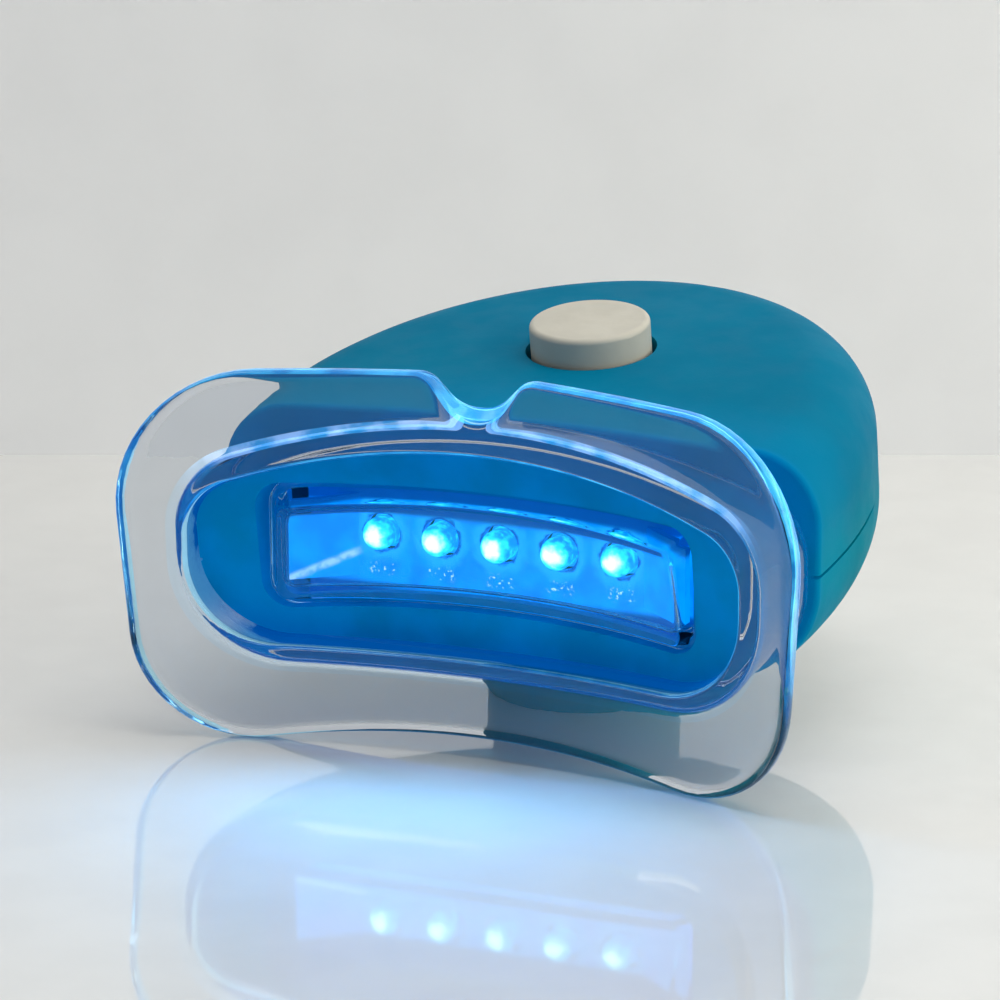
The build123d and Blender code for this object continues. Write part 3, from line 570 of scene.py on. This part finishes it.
def ramp(material, source, start, end, low=0, high=1):
    """Number that goes smoothly from low to high while the source goes from start to end."""
    inputs = {"Value": source, "From Min": start, "From Max": end, "To Min": low, "To Max": high}
    return add(material, "MapRange", inputs, interpolation_type="SMOOTHSTEP").outputs["Result"]


print("pieces that wait for a finish", len(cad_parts))

# %% Sums and mixes
DARK = (0.0, 0.0, 0.0)


def patches(material, size_mm, detail, start, end):
    """Soft patches from 0 to 1, about size_mm across."""
    return ramp(material, noise(material, size_mm, detail), start, end)


def calculate(owner, operation, a, b=0.0):
    """One sum on two numbers."""
    return add(owner, "Math", {0: a, 1: b}, operation=operation).outputs[0]


def product(material, first, *others):
    """All the numbers multiplied together."""
    for other in others:
        first = calculate(material, "MULTIPLY", first, other)
    return first


def distance(material, number, middle):
    """How far a number lies from a middle value."""
    return calculate(material, "ABSOLUTE", calculate(material, "SUBTRACT", number, middle))


def mix(material, factor, a, b):
    """Colour between a, at factor 0, and b, at factor 1."""
    a, b = [(*c, 1) if isinstance(c, tuple) and len(c) == 3 else c for c in (a, b)]
    inputs = {"Factor": factor, "A": a, "B": b}
    return add(material, "Mix", inputs, data_type="RGBA").outputs["Result"]


print("a surface that gives no light has the colour", DARK)

# %% [markdown]
# ## One recipe for every finish
# A real moulding is never one flat colour: the mould leaves a fine grain, and the plastic
# clouds a little over its length. Each finish could be built by hand. One recipe is used for
# them all instead: a fine noise bumps the surface, and slow noises change the colour and the
# roughness slightly.

# %% Finish recipe
MOTTLE_DETAIL, WORN_DETAIL, GRAIN_DETAIL = 3, 4, 2
PATCH_START, PATCH_END, WORN_SIZE = 0.3, 0.7, 0.4


def finish(name, color, roughness, metallic=0.0, grain=0.0, grain_size=0.25, mottle=0.0,
           mottle_size=9.0, rough_spread=0.0, **settings):
    """Material with a slow mottle in its colour and a fine grain, in mm, in its bump."""
    material = bpy.data.materials.new(name)
    material.use_nodes = True
    shader = material.node_tree.nodes["Principled BSDF"]
    shader.inputs["Base Color"].default_value = (*color, 1)
    shader.inputs["Roughness"].default_value = roughness
    shader.inputs["Metallic"].default_value = metallic
    for key, value in settings.items():
        shader.inputs[key.replace("_", " ")].default_value = value
    if mottle:
        darker = tuple(c * (1 - mottle) for c in color)
        lighter = tuple(min(1, c * (1 + mottle)) for c in color)
        clouds = patches(material, mottle_size, MOTTLE_DETAIL, PATCH_START, PATCH_END)
        tint(material, mix(material, clouds, darker, lighter))
    if rough_spread:
        worn = noise(material, mottle_size * WORN_SIZE, WORN_DETAIL)
        spread_out = ramp(material, worn, PATCH_START, PATCH_END,
                          roughness - rough_spread, roughness + rough_spread)
        material.node_tree.links.new(spread_out, shader.inputs["Roughness"])
    if grain:
        bump = add(material, "Bump", {"Strength": 1.0, "Distance": grain / 1000,
                                      "Height": noise(material, grain_size, GRAIN_DETAIL)})
        material.node_tree.links.new(bump.outputs["Normal"], shader.inputs["Normal"])
    return material


def tint(material, color):
    """Give a finish a colour that varies over the surface."""
    shader = material.node_tree.nodes["Principled BSDF"]
    material.node_tree.links.new(color, shader.inputs["Base Color"])


def shine(material, color):
    """Give a finish light of its own in a colour that varies over the surface."""
    shader = material.node_tree.nodes["Principled BSDF"]
    material.node_tree.links.new(color, shader.inputs["Emission Color"])
    shader.inputs["Emission Strength"].default_value = 1.0


def wear(material, *names):
    """Give CAD nodes a finish through their own material slots."""
    for name in names:
        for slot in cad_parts[name].material_slots:
            slot.material = material
    nodes = len(material.node_tree.nodes)
    print(material.name, "with", nodes, "shader nodes, on", len(names), "pieces")


print("colours drift over patches of 9 mm, unless a finish names another size")


# %% [markdown]
# ## Casing
# The two casing halves and the battery cap are one teal plastic with a fine satin grain. It looks a
# little greener low down, where light comes up from the table, and a slow ramp over the height
# paints that light into its colour, with slightly different colours above and below.

# %% Casing colour
TEAL = (0.0, 0.180, 0.335)
LOW_TEALS = ((0.0, 0.205, 0.295), (0.0, 0.225, 0.312))
HIGH_TEALS = ((0.0, 0.165, 0.292), (0.0, 0.181, 0.314))
GREENER_BELOW, BLUER_ABOVE = 0.0180, 0.0275

teal = finish("teal_casing", TEAL, 0.55, grain=0.014, grain_size=0.22, rough_spread=0.06,
              Specular_IOR_Level=0.03, Specular_Tint=(0.15, 0.75, 1.0, 1.0))
teal_x, teal_y, teal_z = axes(teal)
clouds = patches(teal, size_mm=9.0, detail=3, start=0.3, end=0.7)
# painted light from the table: the colour turns greener low down and bluer above
raised = ramp(teal, teal_z, GREENER_BELOW, BLUER_ABOVE)
tint(teal, mix(teal, raised, mix(teal, clouds, *LOW_TEALS), mix(teal, clouds, *HIGH_TEALS)))
wear(teal, "upper_shell", "lower_shell", "battery_cap")

# %% [markdown]
# ## Glow of the nose
# The five lights shine into the wall of the nose, so the plastic there glows blue, and a little
# of that light spills over the casing behind it. Light could be sent through the wall itself,
# but thin coloured plastic then needs very many samples. The glow is painted as light of the
# surface's own instead: cloudy on the nose, fading over the casing's front, and deeper inside
# the window, where the lights are close.

# %% Nose glow
NOSE_GLOWS = ((0.0, 0.038, 0.19), (0.0, 0.062, 0.30))
SPILL_GLOW, WINDOW_GLOW = (0.0, 0.03, 0.075), (0.0, 0.06, 0.24)
NOSE_FROM, NOSE_TO, SPILL_FROM, SPILL_TO = -0.0162, -0.0140, -0.0145, -0.0040
WINDOW_MIDDLE, WINDOW_SIDES, WINDOW_EDGES = 0.0178, (0.0222, 0.0226), (0.0068, 0.0072)
WINDOW_FRONT, WINDOW_BACK = (-0.0200, -0.0190), (-0.0120, -0.0100)

on_nose = ramp(teal, teal_y, NOSE_FROM, NOSE_TO, 1, 0)
spilled = ramp(teal, teal_y, SPILL_FROM, SPILL_TO, 1, 0)
cloudy = patches(teal, size_mm=7.0, detail=4, start=0.35, end=0.65)
outside = mix(teal, on_nose, mix(teal, spilled, DARK, SPILL_GLOW), mix(teal, cloudy, *NOSE_GLOWS))
sideways = calculate(teal, "ABSOLUTE", teal_x)
off_level = distance(teal, teal_z, WINDOW_MIDDLE)
in_window = product(
    teal,
    ramp(teal, sideways, *WINDOW_SIDES, 1, 0),
    ramp(teal, off_level, *WINDOW_EDGES, 1, 0),
    ramp(teal, teal_y, *WINDOW_FRONT),
    ramp(teal, teal_y, *WINDOW_BACK, 1, 0))
shine(teal, mix(teal, in_window, outside, WINDOW_GLOW))
print("glow of the nose ends", round(1000 * (SPILL_TO - NOSE_TO)), "mm behind it")

# %% [markdown]
# ## Button
# The button is an off-white moulding, smoother than the casing, faintly warm on top. A plain
# white would look like paper beside the teal, so it is a warm grey white with a light mottle.

# %% Button finish
cream = finish("cream_button", (0.58, 0.55, 0.465), 0.42, grain=0.01, grain_size=0.5,
               mottle=0.04, rough_spread=0.08, mottle_size=4)
wear(cream, "power_button")

# %% [markdown]
# ## Clear plastic
# The mouthpiece and the lens are clear plastic that bends light. A see-through surface without
# bending would be quicker and look like film. Here light bends as it does in the real plastic,
# a little less than in glass, and a very fine grain keeps the reflections from being perfect.

# %% Clear finishes
CLEAR, SHEEN = (0.72, 0.76, 0.82), (0.5, 0.85, 1.0, 1.0)


def clear_finish(name, color, roughness, bending, grain, grain_size, sheen=SHEEN):
    """Clear plastic whose bending of light is its index of refraction."""
    return finish(name, color, roughness, grain=grain, grain_size=grain_size,
                  Transmission_Weight=1.0, IOR=bending, Specular_Tint=sheen)


clear = clear_finish("clear_plastic", CLEAR, 0.015, 1.42, 0.010, 2.2)
lens_clear = clear_finish("clear_lens_plastic", (0.55, 0.90, 1.0), 0.015, 1.40, 0.004, 2.5,
                          sheen=(0.3, 0.8, 1.0, 1.0))
lens.data.materials.append(lens_clear)
print("clear finishes", clear.name, lens_clear.name)

# %% [markdown]
# ## Lit edges
# A thin clear moulding carries the lamp's light inside itself and lets it out at its edges and
# bends. Rays that bounce about in thin plastic would show this only with much speckle, so three
# more finishes of the same plastic have that light painted on, as light of their own and as a bluer
# tint in their colour:
# - the outer rim and the edge of the opening: blue in streaks, strongest at the top and right
# - the root, where the sleeve meets the back of the shield: a pale band over the crown
# - the bore of the sleeve: blue on its left wall and on its floor

# %% Rim finish
RIM_LOW, RIM_HIGH, RIM_LEFT, RIM_RIGHT = 0.004, 0.030, -0.034, 0.020
RIM_DIM, RIM_BRIGHT = (0.0, 0.18, 0.50), (0.05, 0.50, 0.90)

# painted light: a blue tint and blue streaks of glow along the rim
edge_lit = clear_finish("edge_lit_plastic", (0.28, 0.74, 0.95), 0.03, 1.42, 0.012, 1.2)
rim_x, _, rim_z = axes(edge_lit)
carried = product(edge_lit, ramp(edge_lit, rim_z, RIM_LOW, RIM_HIGH, 0.10, 1.0),
                  ramp(edge_lit, rim_x, RIM_LEFT, RIM_RIGHT, 0.40, 1.0))
streaks = patches(edge_lit, size_mm=4.0, detail=6, start=0.40, end=0.62)
shine(edge_lit, mix(edge_lit, carried, DARK, mix(edge_lit, streaks, RIM_DIM, RIM_BRIGHT)))
print(edge_lit.name, "is brightest above", round(1000 * RIM_HIGH), "mm")

# %% Root finish
CROWN_LOW, CROWN_HIGH = 0.0225, 0.0280
ROOT_DIM, ROOT_BRIGHT, ROOT_FAINT = (0.02, 0.18, 0.38), (0.26, 0.42, 0.68), (0.0, 0.01, 0.03)

# painted light: a pale blue tint and a pale glow over the crown
root_lit = clear_finish("root_lit_plastic", (0.60, 0.78, 0.92), 0.03, 1.42, 0.012, 1.2)
_, _, root_z = axes(root_lit)
crown = ramp(root_lit, root_z, CROWN_LOW, CROWN_HIGH)
streaks = patches(root_lit, size_mm=2.5, detail=6, start=0.38, end=0.62)
shine(root_lit, mix(root_lit, crown, ROOT_FAINT, mix(root_lit, streaks, ROOT_DIM, ROOT_BRIGHT)))
print(root_lit.name, "is pale above", round(1000 * CROWN_HIGH), "mm")

# %% Bore finish
LEFT_FROM, LEFT_TO, FLOOR_FROM, FLOOR_TO = -0.026, -0.016, 0.0095, 0.0150
BORE_BLUE, BORE_GLOW, BORE_FAINT = (0.01, 0.10, 0.25), (0.0, 0.045, 0.16), (0.0, 0.004, 0.012)

bore = clear_finish("lit_bore_plastic", CLEAR, 0.03, 1.25, 0.010, 1.8)
bore_x, _, bore_z = axes(bore)
lit_wall = calculate(bore, "MAXIMUM", ramp(bore, bore_x, LEFT_FROM, LEFT_TO, 1, 0),
                     ramp(bore, bore_z, FLOOR_FROM, FLOOR_TO, 1, 0))
# painted light: the walls that face the lights get a blue tint and a blue glow
tint(bore, mix(bore, lit_wall, CLEAR, BORE_BLUE))
shine(bore, mix(bore, lit_wall, BORE_FAINT, BORE_GLOW))
print(bore.name, "is blue below", round(1000 * FLOOR_FROM, 1), "mm")

# %% [markdown]
# ## Which faces glow
# The four finishes could sit on four meshes, but gaps would show between them. They share one
# mesh instead. Every section has its faces in the same order, so a face's place in its section
# says which part of the moulding it belongs to.

# %% Mouthpiece finishes
RIM_FACES, OPENING_FACES = range(38, 45), range(15, 19)
BORE_FACES, ROOT_FACES = range(6, 15), range(61, 70)
FINISH_OF_FACES = ((1, RIM_FACES), (1, OPENING_FACES), (2, BORE_FACES), (3, ROOT_FACES))

for material in (clear, edge_lit, bore, root_lit):
    mouthpiece.data.materials.append(material)
for polygon in mouthpiece.data.polygons:
    for index, its_faces in FINISH_OF_FACES:
        if polygon.index % ring in its_faces:
            polygon.material_index = index
glowing = sum(polygon.material_index > 0 for polygon in mouthpiece.data.polygons)
print("glowing faces", glowing, "of", len(mouthpiece.data.polygons))

# %% [markdown]
# ## Lights
# The lights are on. Each dome is white in the middle and turns through cyan to blue towards its
# edge. Real lamps inside the domes would light the scene but leave the domes themselves flat.
# So the domes shine by themselves, in colours that depend on the distance from the axis of the
# nearest light, worked out by folding X at the lights' pitch.

# %% Light finish
LED_PITCH, LED_HEIGHT, LED_UNEVEN = 0.00591, 0.01865, 0.0002
CORE_WHITE, CORE_CYAN, DOME_BLUE = (2.2, 2.6, 2.6), (0.03, 0.95, 1.25), (0.0, 0.28, 0.85)
WHITE_RADIUS, CYAN_RADIUS, BLUE_RADIUS = 0.0003, 0.0012, 0.0016


def off_axis(material, x, z):
    """Distance sideways and distance in all from the axis of the nearest light, in metres."""
    aside = calculate(material, "PINGPONG", x, LED_PITCH / 2)
    above = calculate(material, "SUBTRACT", z, LED_HEIGHT)
    flat = add(material, "CombineXYZ", {"X": aside, "Z": above}).outputs["Vector"]
    length = add(material, "VectorMath", {0: flat}, operation="LENGTH").outputs["Value"]
    uneven = ramp(material, noise(material, 0.8, 3), 0.3, 0.7, -LED_UNEVEN, LED_UNEVEN)
    return aside, calculate(material, "ADD", length, uneven)


lit = finish("lit_dome", (0.1, 0.3, 0.5), 0.2, grain=0.01, grain_size=0.6)
dome_x, _, dome_z = axes(lit)
_, reach = off_axis(lit, dome_x, dome_z)
core = mix(lit, ramp(lit, reach, WHITE_RADIUS, CYAN_RADIUS), CORE_WHITE, CORE_CYAN)
shine(lit, mix(lit, ramp(lit, reach, CYAN_RADIUS, BLUE_RADIUS), core, DOME_BLUE))
wear(lit, "led_1", "led_2", "led_3", "led_4", "led_5")

# %% [markdown]
# ## Tray
# The white tray is flooded with blue, so nothing of its white is left. Five small lamps could light
# it, at the price of speckle behind the clear lens. So that light is painted instead: a dark blue
# colour, and light of its own in a cloudy blue panel, a dark ring and a pale halo round each light,
# small painted glints below them, a slanting streak of painted glare at the lower left, and a
# darker edge above and below the lit part, where the painted light fades.

# %% Tray panel and rings
PANEL_BLUES = ((0.0, 0.25, 0.88), (0.0, 0.36, 1.0))
HALO_BLUE, RING_BLUE = (0.02, 0.45, 1.0), (0.0, 0.10, 0.42)
RING_FROM, RING_TO, HALO_TO = 0.0018, 0.0021, 0.0032
ROW_HALF, ROW_END = 0.0139, 0.0146

# painted light: the white tray gets a dark blue colour, as in the lamps' blue light
tray_blue = finish("tray_white", (0.0, 0.12, 0.40), 0.4, grain=0.01, grain_size=0.8,
                   Specular_IOR_Level=0.2)
tray_x, _, tray_z = axes(tray_blue)
aside, reach = off_axis(tray_blue, tray_x, tray_z)
cloudy = patches(tray_blue, size_mm=3.0, detail=3, start=0.35, end=0.65)
panel = mix(tray_blue, cloudy, *PANEL_BLUES)
halo = mix(tray_blue, ramp(tray_blue, reach, RING_TO, HALO_TO), HALO_BLUE, panel)
ringed = mix(tray_blue, ramp(tray_blue, reach, RING_FROM, RING_TO), RING_BLUE, halo)
in_row = ramp(tray_blue, calculate(tray_blue, "ABSOLUTE", tray_x), ROW_HALF, ROW_END, 1, 0)
ringed = mix(tray_blue, in_row, panel, ringed)
print("rings end", round(1000 * ROW_END, 1), "mm from the middle")

# %% Tray sparkles, streak and dark edges
SPARK_WHITE, STREAK_BLUE, EDGE_BLUE = (0.8, 0.95, 1.0), (0.55, 0.72, 1.0), (0.0, 0.06, 0.24)
SPARK_HEIGHT, SPARK_BAND, SPARK_REACH = 0.0153, (0.0003, 0.0008), (0.0009, 0.0016)
STREAK_HEIGHT, STREAK_X, STREAK_SLOPE = 0.0148, 0.0186, 0.42
STREAK_BAND, STREAK_END = (0.0001, 0.0006), (-0.0146, -0.0136)
LIT_FROM, LIT_TO = (0.0134, 0.0142), (0.0202, 0.0209)

# painted glints: small white sparkles below the lights
sparks = product(
    tray_blue,
    ramp(tray_blue, distance(tray_blue, tray_z, SPARK_HEIGHT), *SPARK_BAND, 1, 0),
    patches(tray_blue, size_mm=0.32, detail=2, start=0.58, end=0.68),
    ramp(tray_blue, aside, *SPARK_REACH, 1, 0),
    in_row)
bright = mix(tray_blue, sparks, ringed, SPARK_WHITE)
along_streak = calculate(tray_blue, "MULTIPLY", calculate(tray_blue, "ADD", tray_x, STREAK_X),
                         STREAK_SLOPE)
over_streak = calculate(tray_blue, "SUBTRACT", tray_z, STREAK_HEIGHT)
# painted glare: a pale slanting streak at the lower left
streak = product(
    tray_blue,
    ramp(tray_blue, distance(tray_blue, over_streak, along_streak), *STREAK_BAND, 1, 0),
    ramp(tray_blue, tray_x, *STREAK_END, 1, 0),
    ramp(tray_blue, noise(tray_blue, 1.2, 4), 0.35, 0.6, 0.2, 1))
bright = mix(tray_blue, streak, bright, STREAK_BLUE)
# painted shade: the painted light fades above and below the lit part
lit_part = product(tray_blue, ramp(tray_blue, tray_z, *LIT_FROM),
                   ramp(tray_blue, tray_z, *LIT_TO, 1, 0))
shine(tray_blue, mix(tray_blue, lit_part, EDGE_BLUE, bright))
wear(tray_blue, "reflector_tray")

# %% [markdown]
# ## Inner parts
# Boards, contacts, cells, screws and wires sit inside the casing, where no view shows them.
# They could be left grey, but someone who opens the model finds them, so they get the finish
# that such parts have: green lacquer over glass cloth, nickel, tin, bright steel and rubber.

# %% Metal finishes
nickel = finish("nickel_plate", (0.60, 0.58, 0.53), 0.28, 1.0, grain=0.004, grain_size=0.3,
                mottle=0.05, rough_spread=0.08)
tin = finish("tinned_metal", (0.66, 0.66, 0.67), 0.33, 1.0, grain=0.01, grain_size=0.2,
             mottle=0.06, rough_spread=0.08)
steel = finish("bright_cell_steel", (0.62, 0.62, 0.63), 0.22, 1.0, grain=0.003, grain_size=0.4,
               mottle=0.04, rough_spread=0.07)
zinc = finish("zinc_screw", (0.45, 0.46, 0.48), 0.35, 1.0, grain=0.006, grain_size=0.3,
              mottle=0.08, rough_spread=0.1)
wear(nickel, "battery_top_contact", "battery_side_contact", "cap_contact")
wear(tin, "led_legs", "switch_pins", "switch_spring")
wear(steel, "battery_cell_lower", "battery_cell_middle", "battery_cell_upper")
wear(zinc, "case_screws", "board_screws")

# %% Board, plastic and rubber finishes
board = finish("board_lacquer", (0.02, 0.17, 0.07), 0.3, grain=0.01, grain_size=0.4, mottle=0.12,
               mottle_size=1.2)
black = finish("switch_black", (0.03, 0.03, 0.035), 0.5, grain=0.01, grain_size=0.3, mottle=0.1)
white = finish("plunger_white", (0.75, 0.75, 0.72), 0.45, grain=0.008, grain_size=0.3,
               mottle=0.04)
rubber = finish("seal_rubber", (0.03, 0.03, 0.03), 0.75, grain=0.02, grain_size=0.4, mottle=0.15)
tan = finish("resistor_lacquer", (0.52, 0.38, 0.22), 0.3, grain=0.006, grain_size=0.3,
             mottle=0.08, mottle_size=1)
red = finish("red_wire", (0.5, 0.02, 0.02), 0.4, grain=0.01, grain_size=0.4, mottle=0.06)
dark = finish("black_wire", (0.02, 0.02, 0.022), 0.4, grain=0.01, grain_size=0.4, mottle=0.06)
wear(board, "led_board", "main_board")
wear(black, "switch_housing")
wear(white, "switch_plunger")
wear(rubber, "cap_seal")
wear(tan, "resistor")
wear(red, "led_lead_positive")
wear(dark, "led_lead_negative")

# %% [markdown]
# ## View
# The lamp is seen a little from its left and from above, through a long lens, as a product is
# photographed. The camera could be set by eye. Here it is placed from measured angles and a
# distance, and the wall is set square to the same line of sight.

# %% Line of sight
VIEW_YAW, VIEW_PITCH, VIEW_ROLL = radians(24.68), radians(14.75), radians(-0.46)
VIEW_DISTANCE, VIEW_X, VIEW_Z, VIEW_FOCUS = 396.5, 2.58, 24.4, 4492.4
forward = Vector((-sin(VIEW_YAW) * cos(VIEW_PITCH), cos(VIEW_YAW) * cos(VIEW_PITCH),
                  -sin(VIEW_PITCH)))
right = Vector((cos(VIEW_YAW), sin(VIEW_YAW), 0))
up = right.cross(forward)
eye = to_model(VIEW_X, 0, VIEW_Z) - forward * (VIEW_DISTANCE / 1000)
level = Vector((forward.x, forward.y, 0)).normalized()
print("the eye is", round(eye.z, 3), "m above the table")

# %% [markdown]
# ## Table and wall
# The lamp stands on a glossy white table in front of a plain pale wall, and the table mirrors
# the lit window. A bent paper backdrop would hide the line where table meets wall, but it is
# there behind the lamp, so the set is two flat sheets. A clear coat gives the table its
# mirror. It lies a hair above the foot's end, so that the two faces don't flicker.
# Each sheet can be seen through from behind, so that neither hides the lamp in other views.

# %% Sheets of the set
BACKGROUND_RAYS = ("Is Camera Ray", "Is Glossy Ray", "Is Transmission Ray")


def sheet_mesh(name, corners, material):
    """Flat sheet of the set, which isn't part of the lamp."""
    mesh = bpy.data.meshes.new(name)
    mesh.from_pydata(corners, [], [(0, 1, 2, 3)])
    sheet = bpy.data.objects.new(name, mesh)
    bpy.context.scene.collection.objects.link(sheet)
    sheet.data.materials.append(material)
    print(name, "corners", [tuple(round(c, 2) for c in corner) for corner in corners])


def seen_directly(owner):
    """1 for rays that show the background to the eye, in gloss or through plastic, else 0."""
    path = add(owner, "LightPath", {})
    seen = 0.0
    for ray in BACKGROUND_RAYS:
        seen = calculate(owner, "MAXIMUM", path.outputs[ray], seen)
    return seen


def open_behind(material):
    """Let a sheet of the set be seen through from behind, so that it never hides the lamp."""
    tree = material.node_tree
    facing_away = add(material, "NewGeometry", {}).outputs["Backfacing"]
    solid = tree.nodes["Principled BSDF"].outputs["BSDF"]
    nothing = add(material, "BsdfTransparent", {}).outputs["BSDF"]
    either = add(material, "MixShader", {0: facing_away, 1: solid, 2: nothing})
    tree.links.new(either.outputs["Shader"], tree.nodes["Material Output"].inputs["Surface"])


print("the background is shown to", len(BACKGROUND_RAYS), "kinds of ray")

# %% Table and wall
WALL_AWAY, WALL_TURN, WALL_GLOW, TABLE_LEVEL = 0.496, radians(-1.9), 0.15, 0.00004
SET_HALF, TABLE_NEAR, TABLE_BEYOND, WALL_HEIGHT = 2.0, 3.0, 2.0, 2.0

table_finish = finish("table_white", (0.84, 0.825, 0.79), 0.3, grain=0.002, grain_size=8.0,
                      mottle=0.02, Coat_Weight=1.0, Coat_Roughness=0.03, Coat_IOR=2.1)
wall_finish = finish("wall_white", (0.84, 0.84, 0.84), 0.7, grain=0.01, grain_size=2.0,
                     mottle=0.02)
wall_shader = wall_finish.node_tree.nodes["Principled BSDF"]
wall_shader.inputs["Emission Color"].default_value = (0.98, 0.99, 1.0, 1)
wall_glow = calculate(wall_finish, "MULTIPLY", seen_directly(wall_finish), WALL_GLOW)
wall_finish.node_tree.links.new(wall_glow, wall_shader.inputs["Emission Strength"])
for material in (table_finish, wall_finish):
    open_behind(material)

wall_foot = Vector((eye.x, eye.y, TABLE_LEVEL)) + level * WALL_AWAY
along = Matrix.Rotation(WALL_TURN, 3, "Z") @ right
near_left = wall_foot - along * SET_HALF - level * TABLE_NEAR
near_right = wall_foot + along * SET_HALF - level * TABLE_NEAR
far_left, far_right = wall_foot - along * SET_HALF, wall_foot + along * SET_HALF
lift, beyond = Vector((0, 0, WALL_HEIGHT)), level * TABLE_BEYOND
sheet_mesh("table", [near_left, near_right, far_right + beyond, far_left + beyond], table_finish)
sheet_mesh("wall", [far_left, far_right, far_right + lift, far_left + lift], wall_finish)

# %% [markdown]
# ## Light
# A soft even light fills the scene, and two large soft boxes shape the casing. More power would
# brighten the background too, but it would bleach the pale button, so the background is only
# shown brighter to rays that see it directly. The top box isn't mirrored in the table, where it
# would be one white patch. A small blue light in front of the window stands for what the five
# lights throw on the table, because domes as small as these light it only with speckle.

# %% World light
WORLD_STRENGTH, BACKGROUND_SHOWN = 0.24, 0.36

world = bpy.data.worlds.new("studio")
bpy.context.scene.world = world
world.use_nodes = True
background = world.node_tree.nodes["Background"]
background.inputs["Color"].default_value = (0.96, 0.98, 1.0, 1)
strength = add(world, "Math", {0: seen_directly(world), 1: BACKGROUND_SHOWN, 2: WORLD_STRENGTH},
               operation="MULTIPLY_ADD").outputs[0]
world.node_tree.links.new(strength, background.inputs["Strength"])
print("world strength", WORLD_STRENGTH, "and seen as", round(WORLD_STRENGTH + BACKGROUND_SHOWN, 2))

# %% Lights
def soft_box(name, place, target, size, power, color):
    """Area light at a place in metres, turned to a target."""
    light = bpy.data.lights.new(name, "AREA")
    light.shape = "RECTANGLE"
    light.size, light.size_y = size
    light.energy = power
    light.color = color
    box = bpy.data.objects.new(name, light)
    bpy.context.scene.collection.objects.link(box)
    box.location = place
    box.rotation_euler = (Vector(target) - Vector(place)).to_track_quat("-Z", "Y").to_euler()
    print(name, power, "W")
    return box


top_box = soft_box("top_box", place=(0.05, 0.10, 0.55), target=(0, 0, 0.02), size=(0.6, 0.5),
                   power=3.35, color=(0.96, 0.98, 1.0))
soft_box("side_box", place=(0.50, 0.05, 0.22), target=(0, 0, 0.02), size=(0.35, 0.30),
         power=1.2, color=(1.0, 0.97, 0.84))
window_light = soft_box("window_light", place=to_model(0, -9, 17.5), target=to_model(9, -46, 0),
                        size=(0.036, 0.008), power=0.012, color=(0.05, 0.45, 1.0))
top_box.visible_glossy = False
window_light.visible_camera = False
window_light.visible_glossy = False
window_light.visible_transmission = False

# %% [markdown]
# ## Camera
# The camera looks along the line of sight, rolled by half a degree, as a hand held one is. Its
# focus was measured in pixels of a picture 1000 pixels wide, and a sensor of the common width
# turns that into millimetres.

# %% Camera
SENSOR_WIDTH, PICTURE_WIDTH, NEAREST = 36.0, 1000, 0.01

turned_right = right * cos(VIEW_ROLL) + up * sin(VIEW_ROLL)
turned_up = -right * sin(VIEW_ROLL) + up * cos(VIEW_ROLL)
camera_data = bpy.data.cameras.new("view")
camera_data.sensor_width = SENSOR_WIDTH
camera_data.lens = VIEW_FOCUS * SENSOR_WIDTH / PICTURE_WIDTH
camera_data.clip_start = NEAREST
camera = bpy.data.objects.new("view", camera_data)
bpy.context.scene.collection.objects.link(camera)
turned = Matrix((turned_right, turned_up, -forward)).transposed().to_4x4()
camera.matrix_world = Matrix.Translation(eye) @ turned
bpy.context.scene.camera = camera
bpy.context.scene.view_settings.view_transform = "Standard"
print("focal length", round(camera_data.lens, 1), "mm")
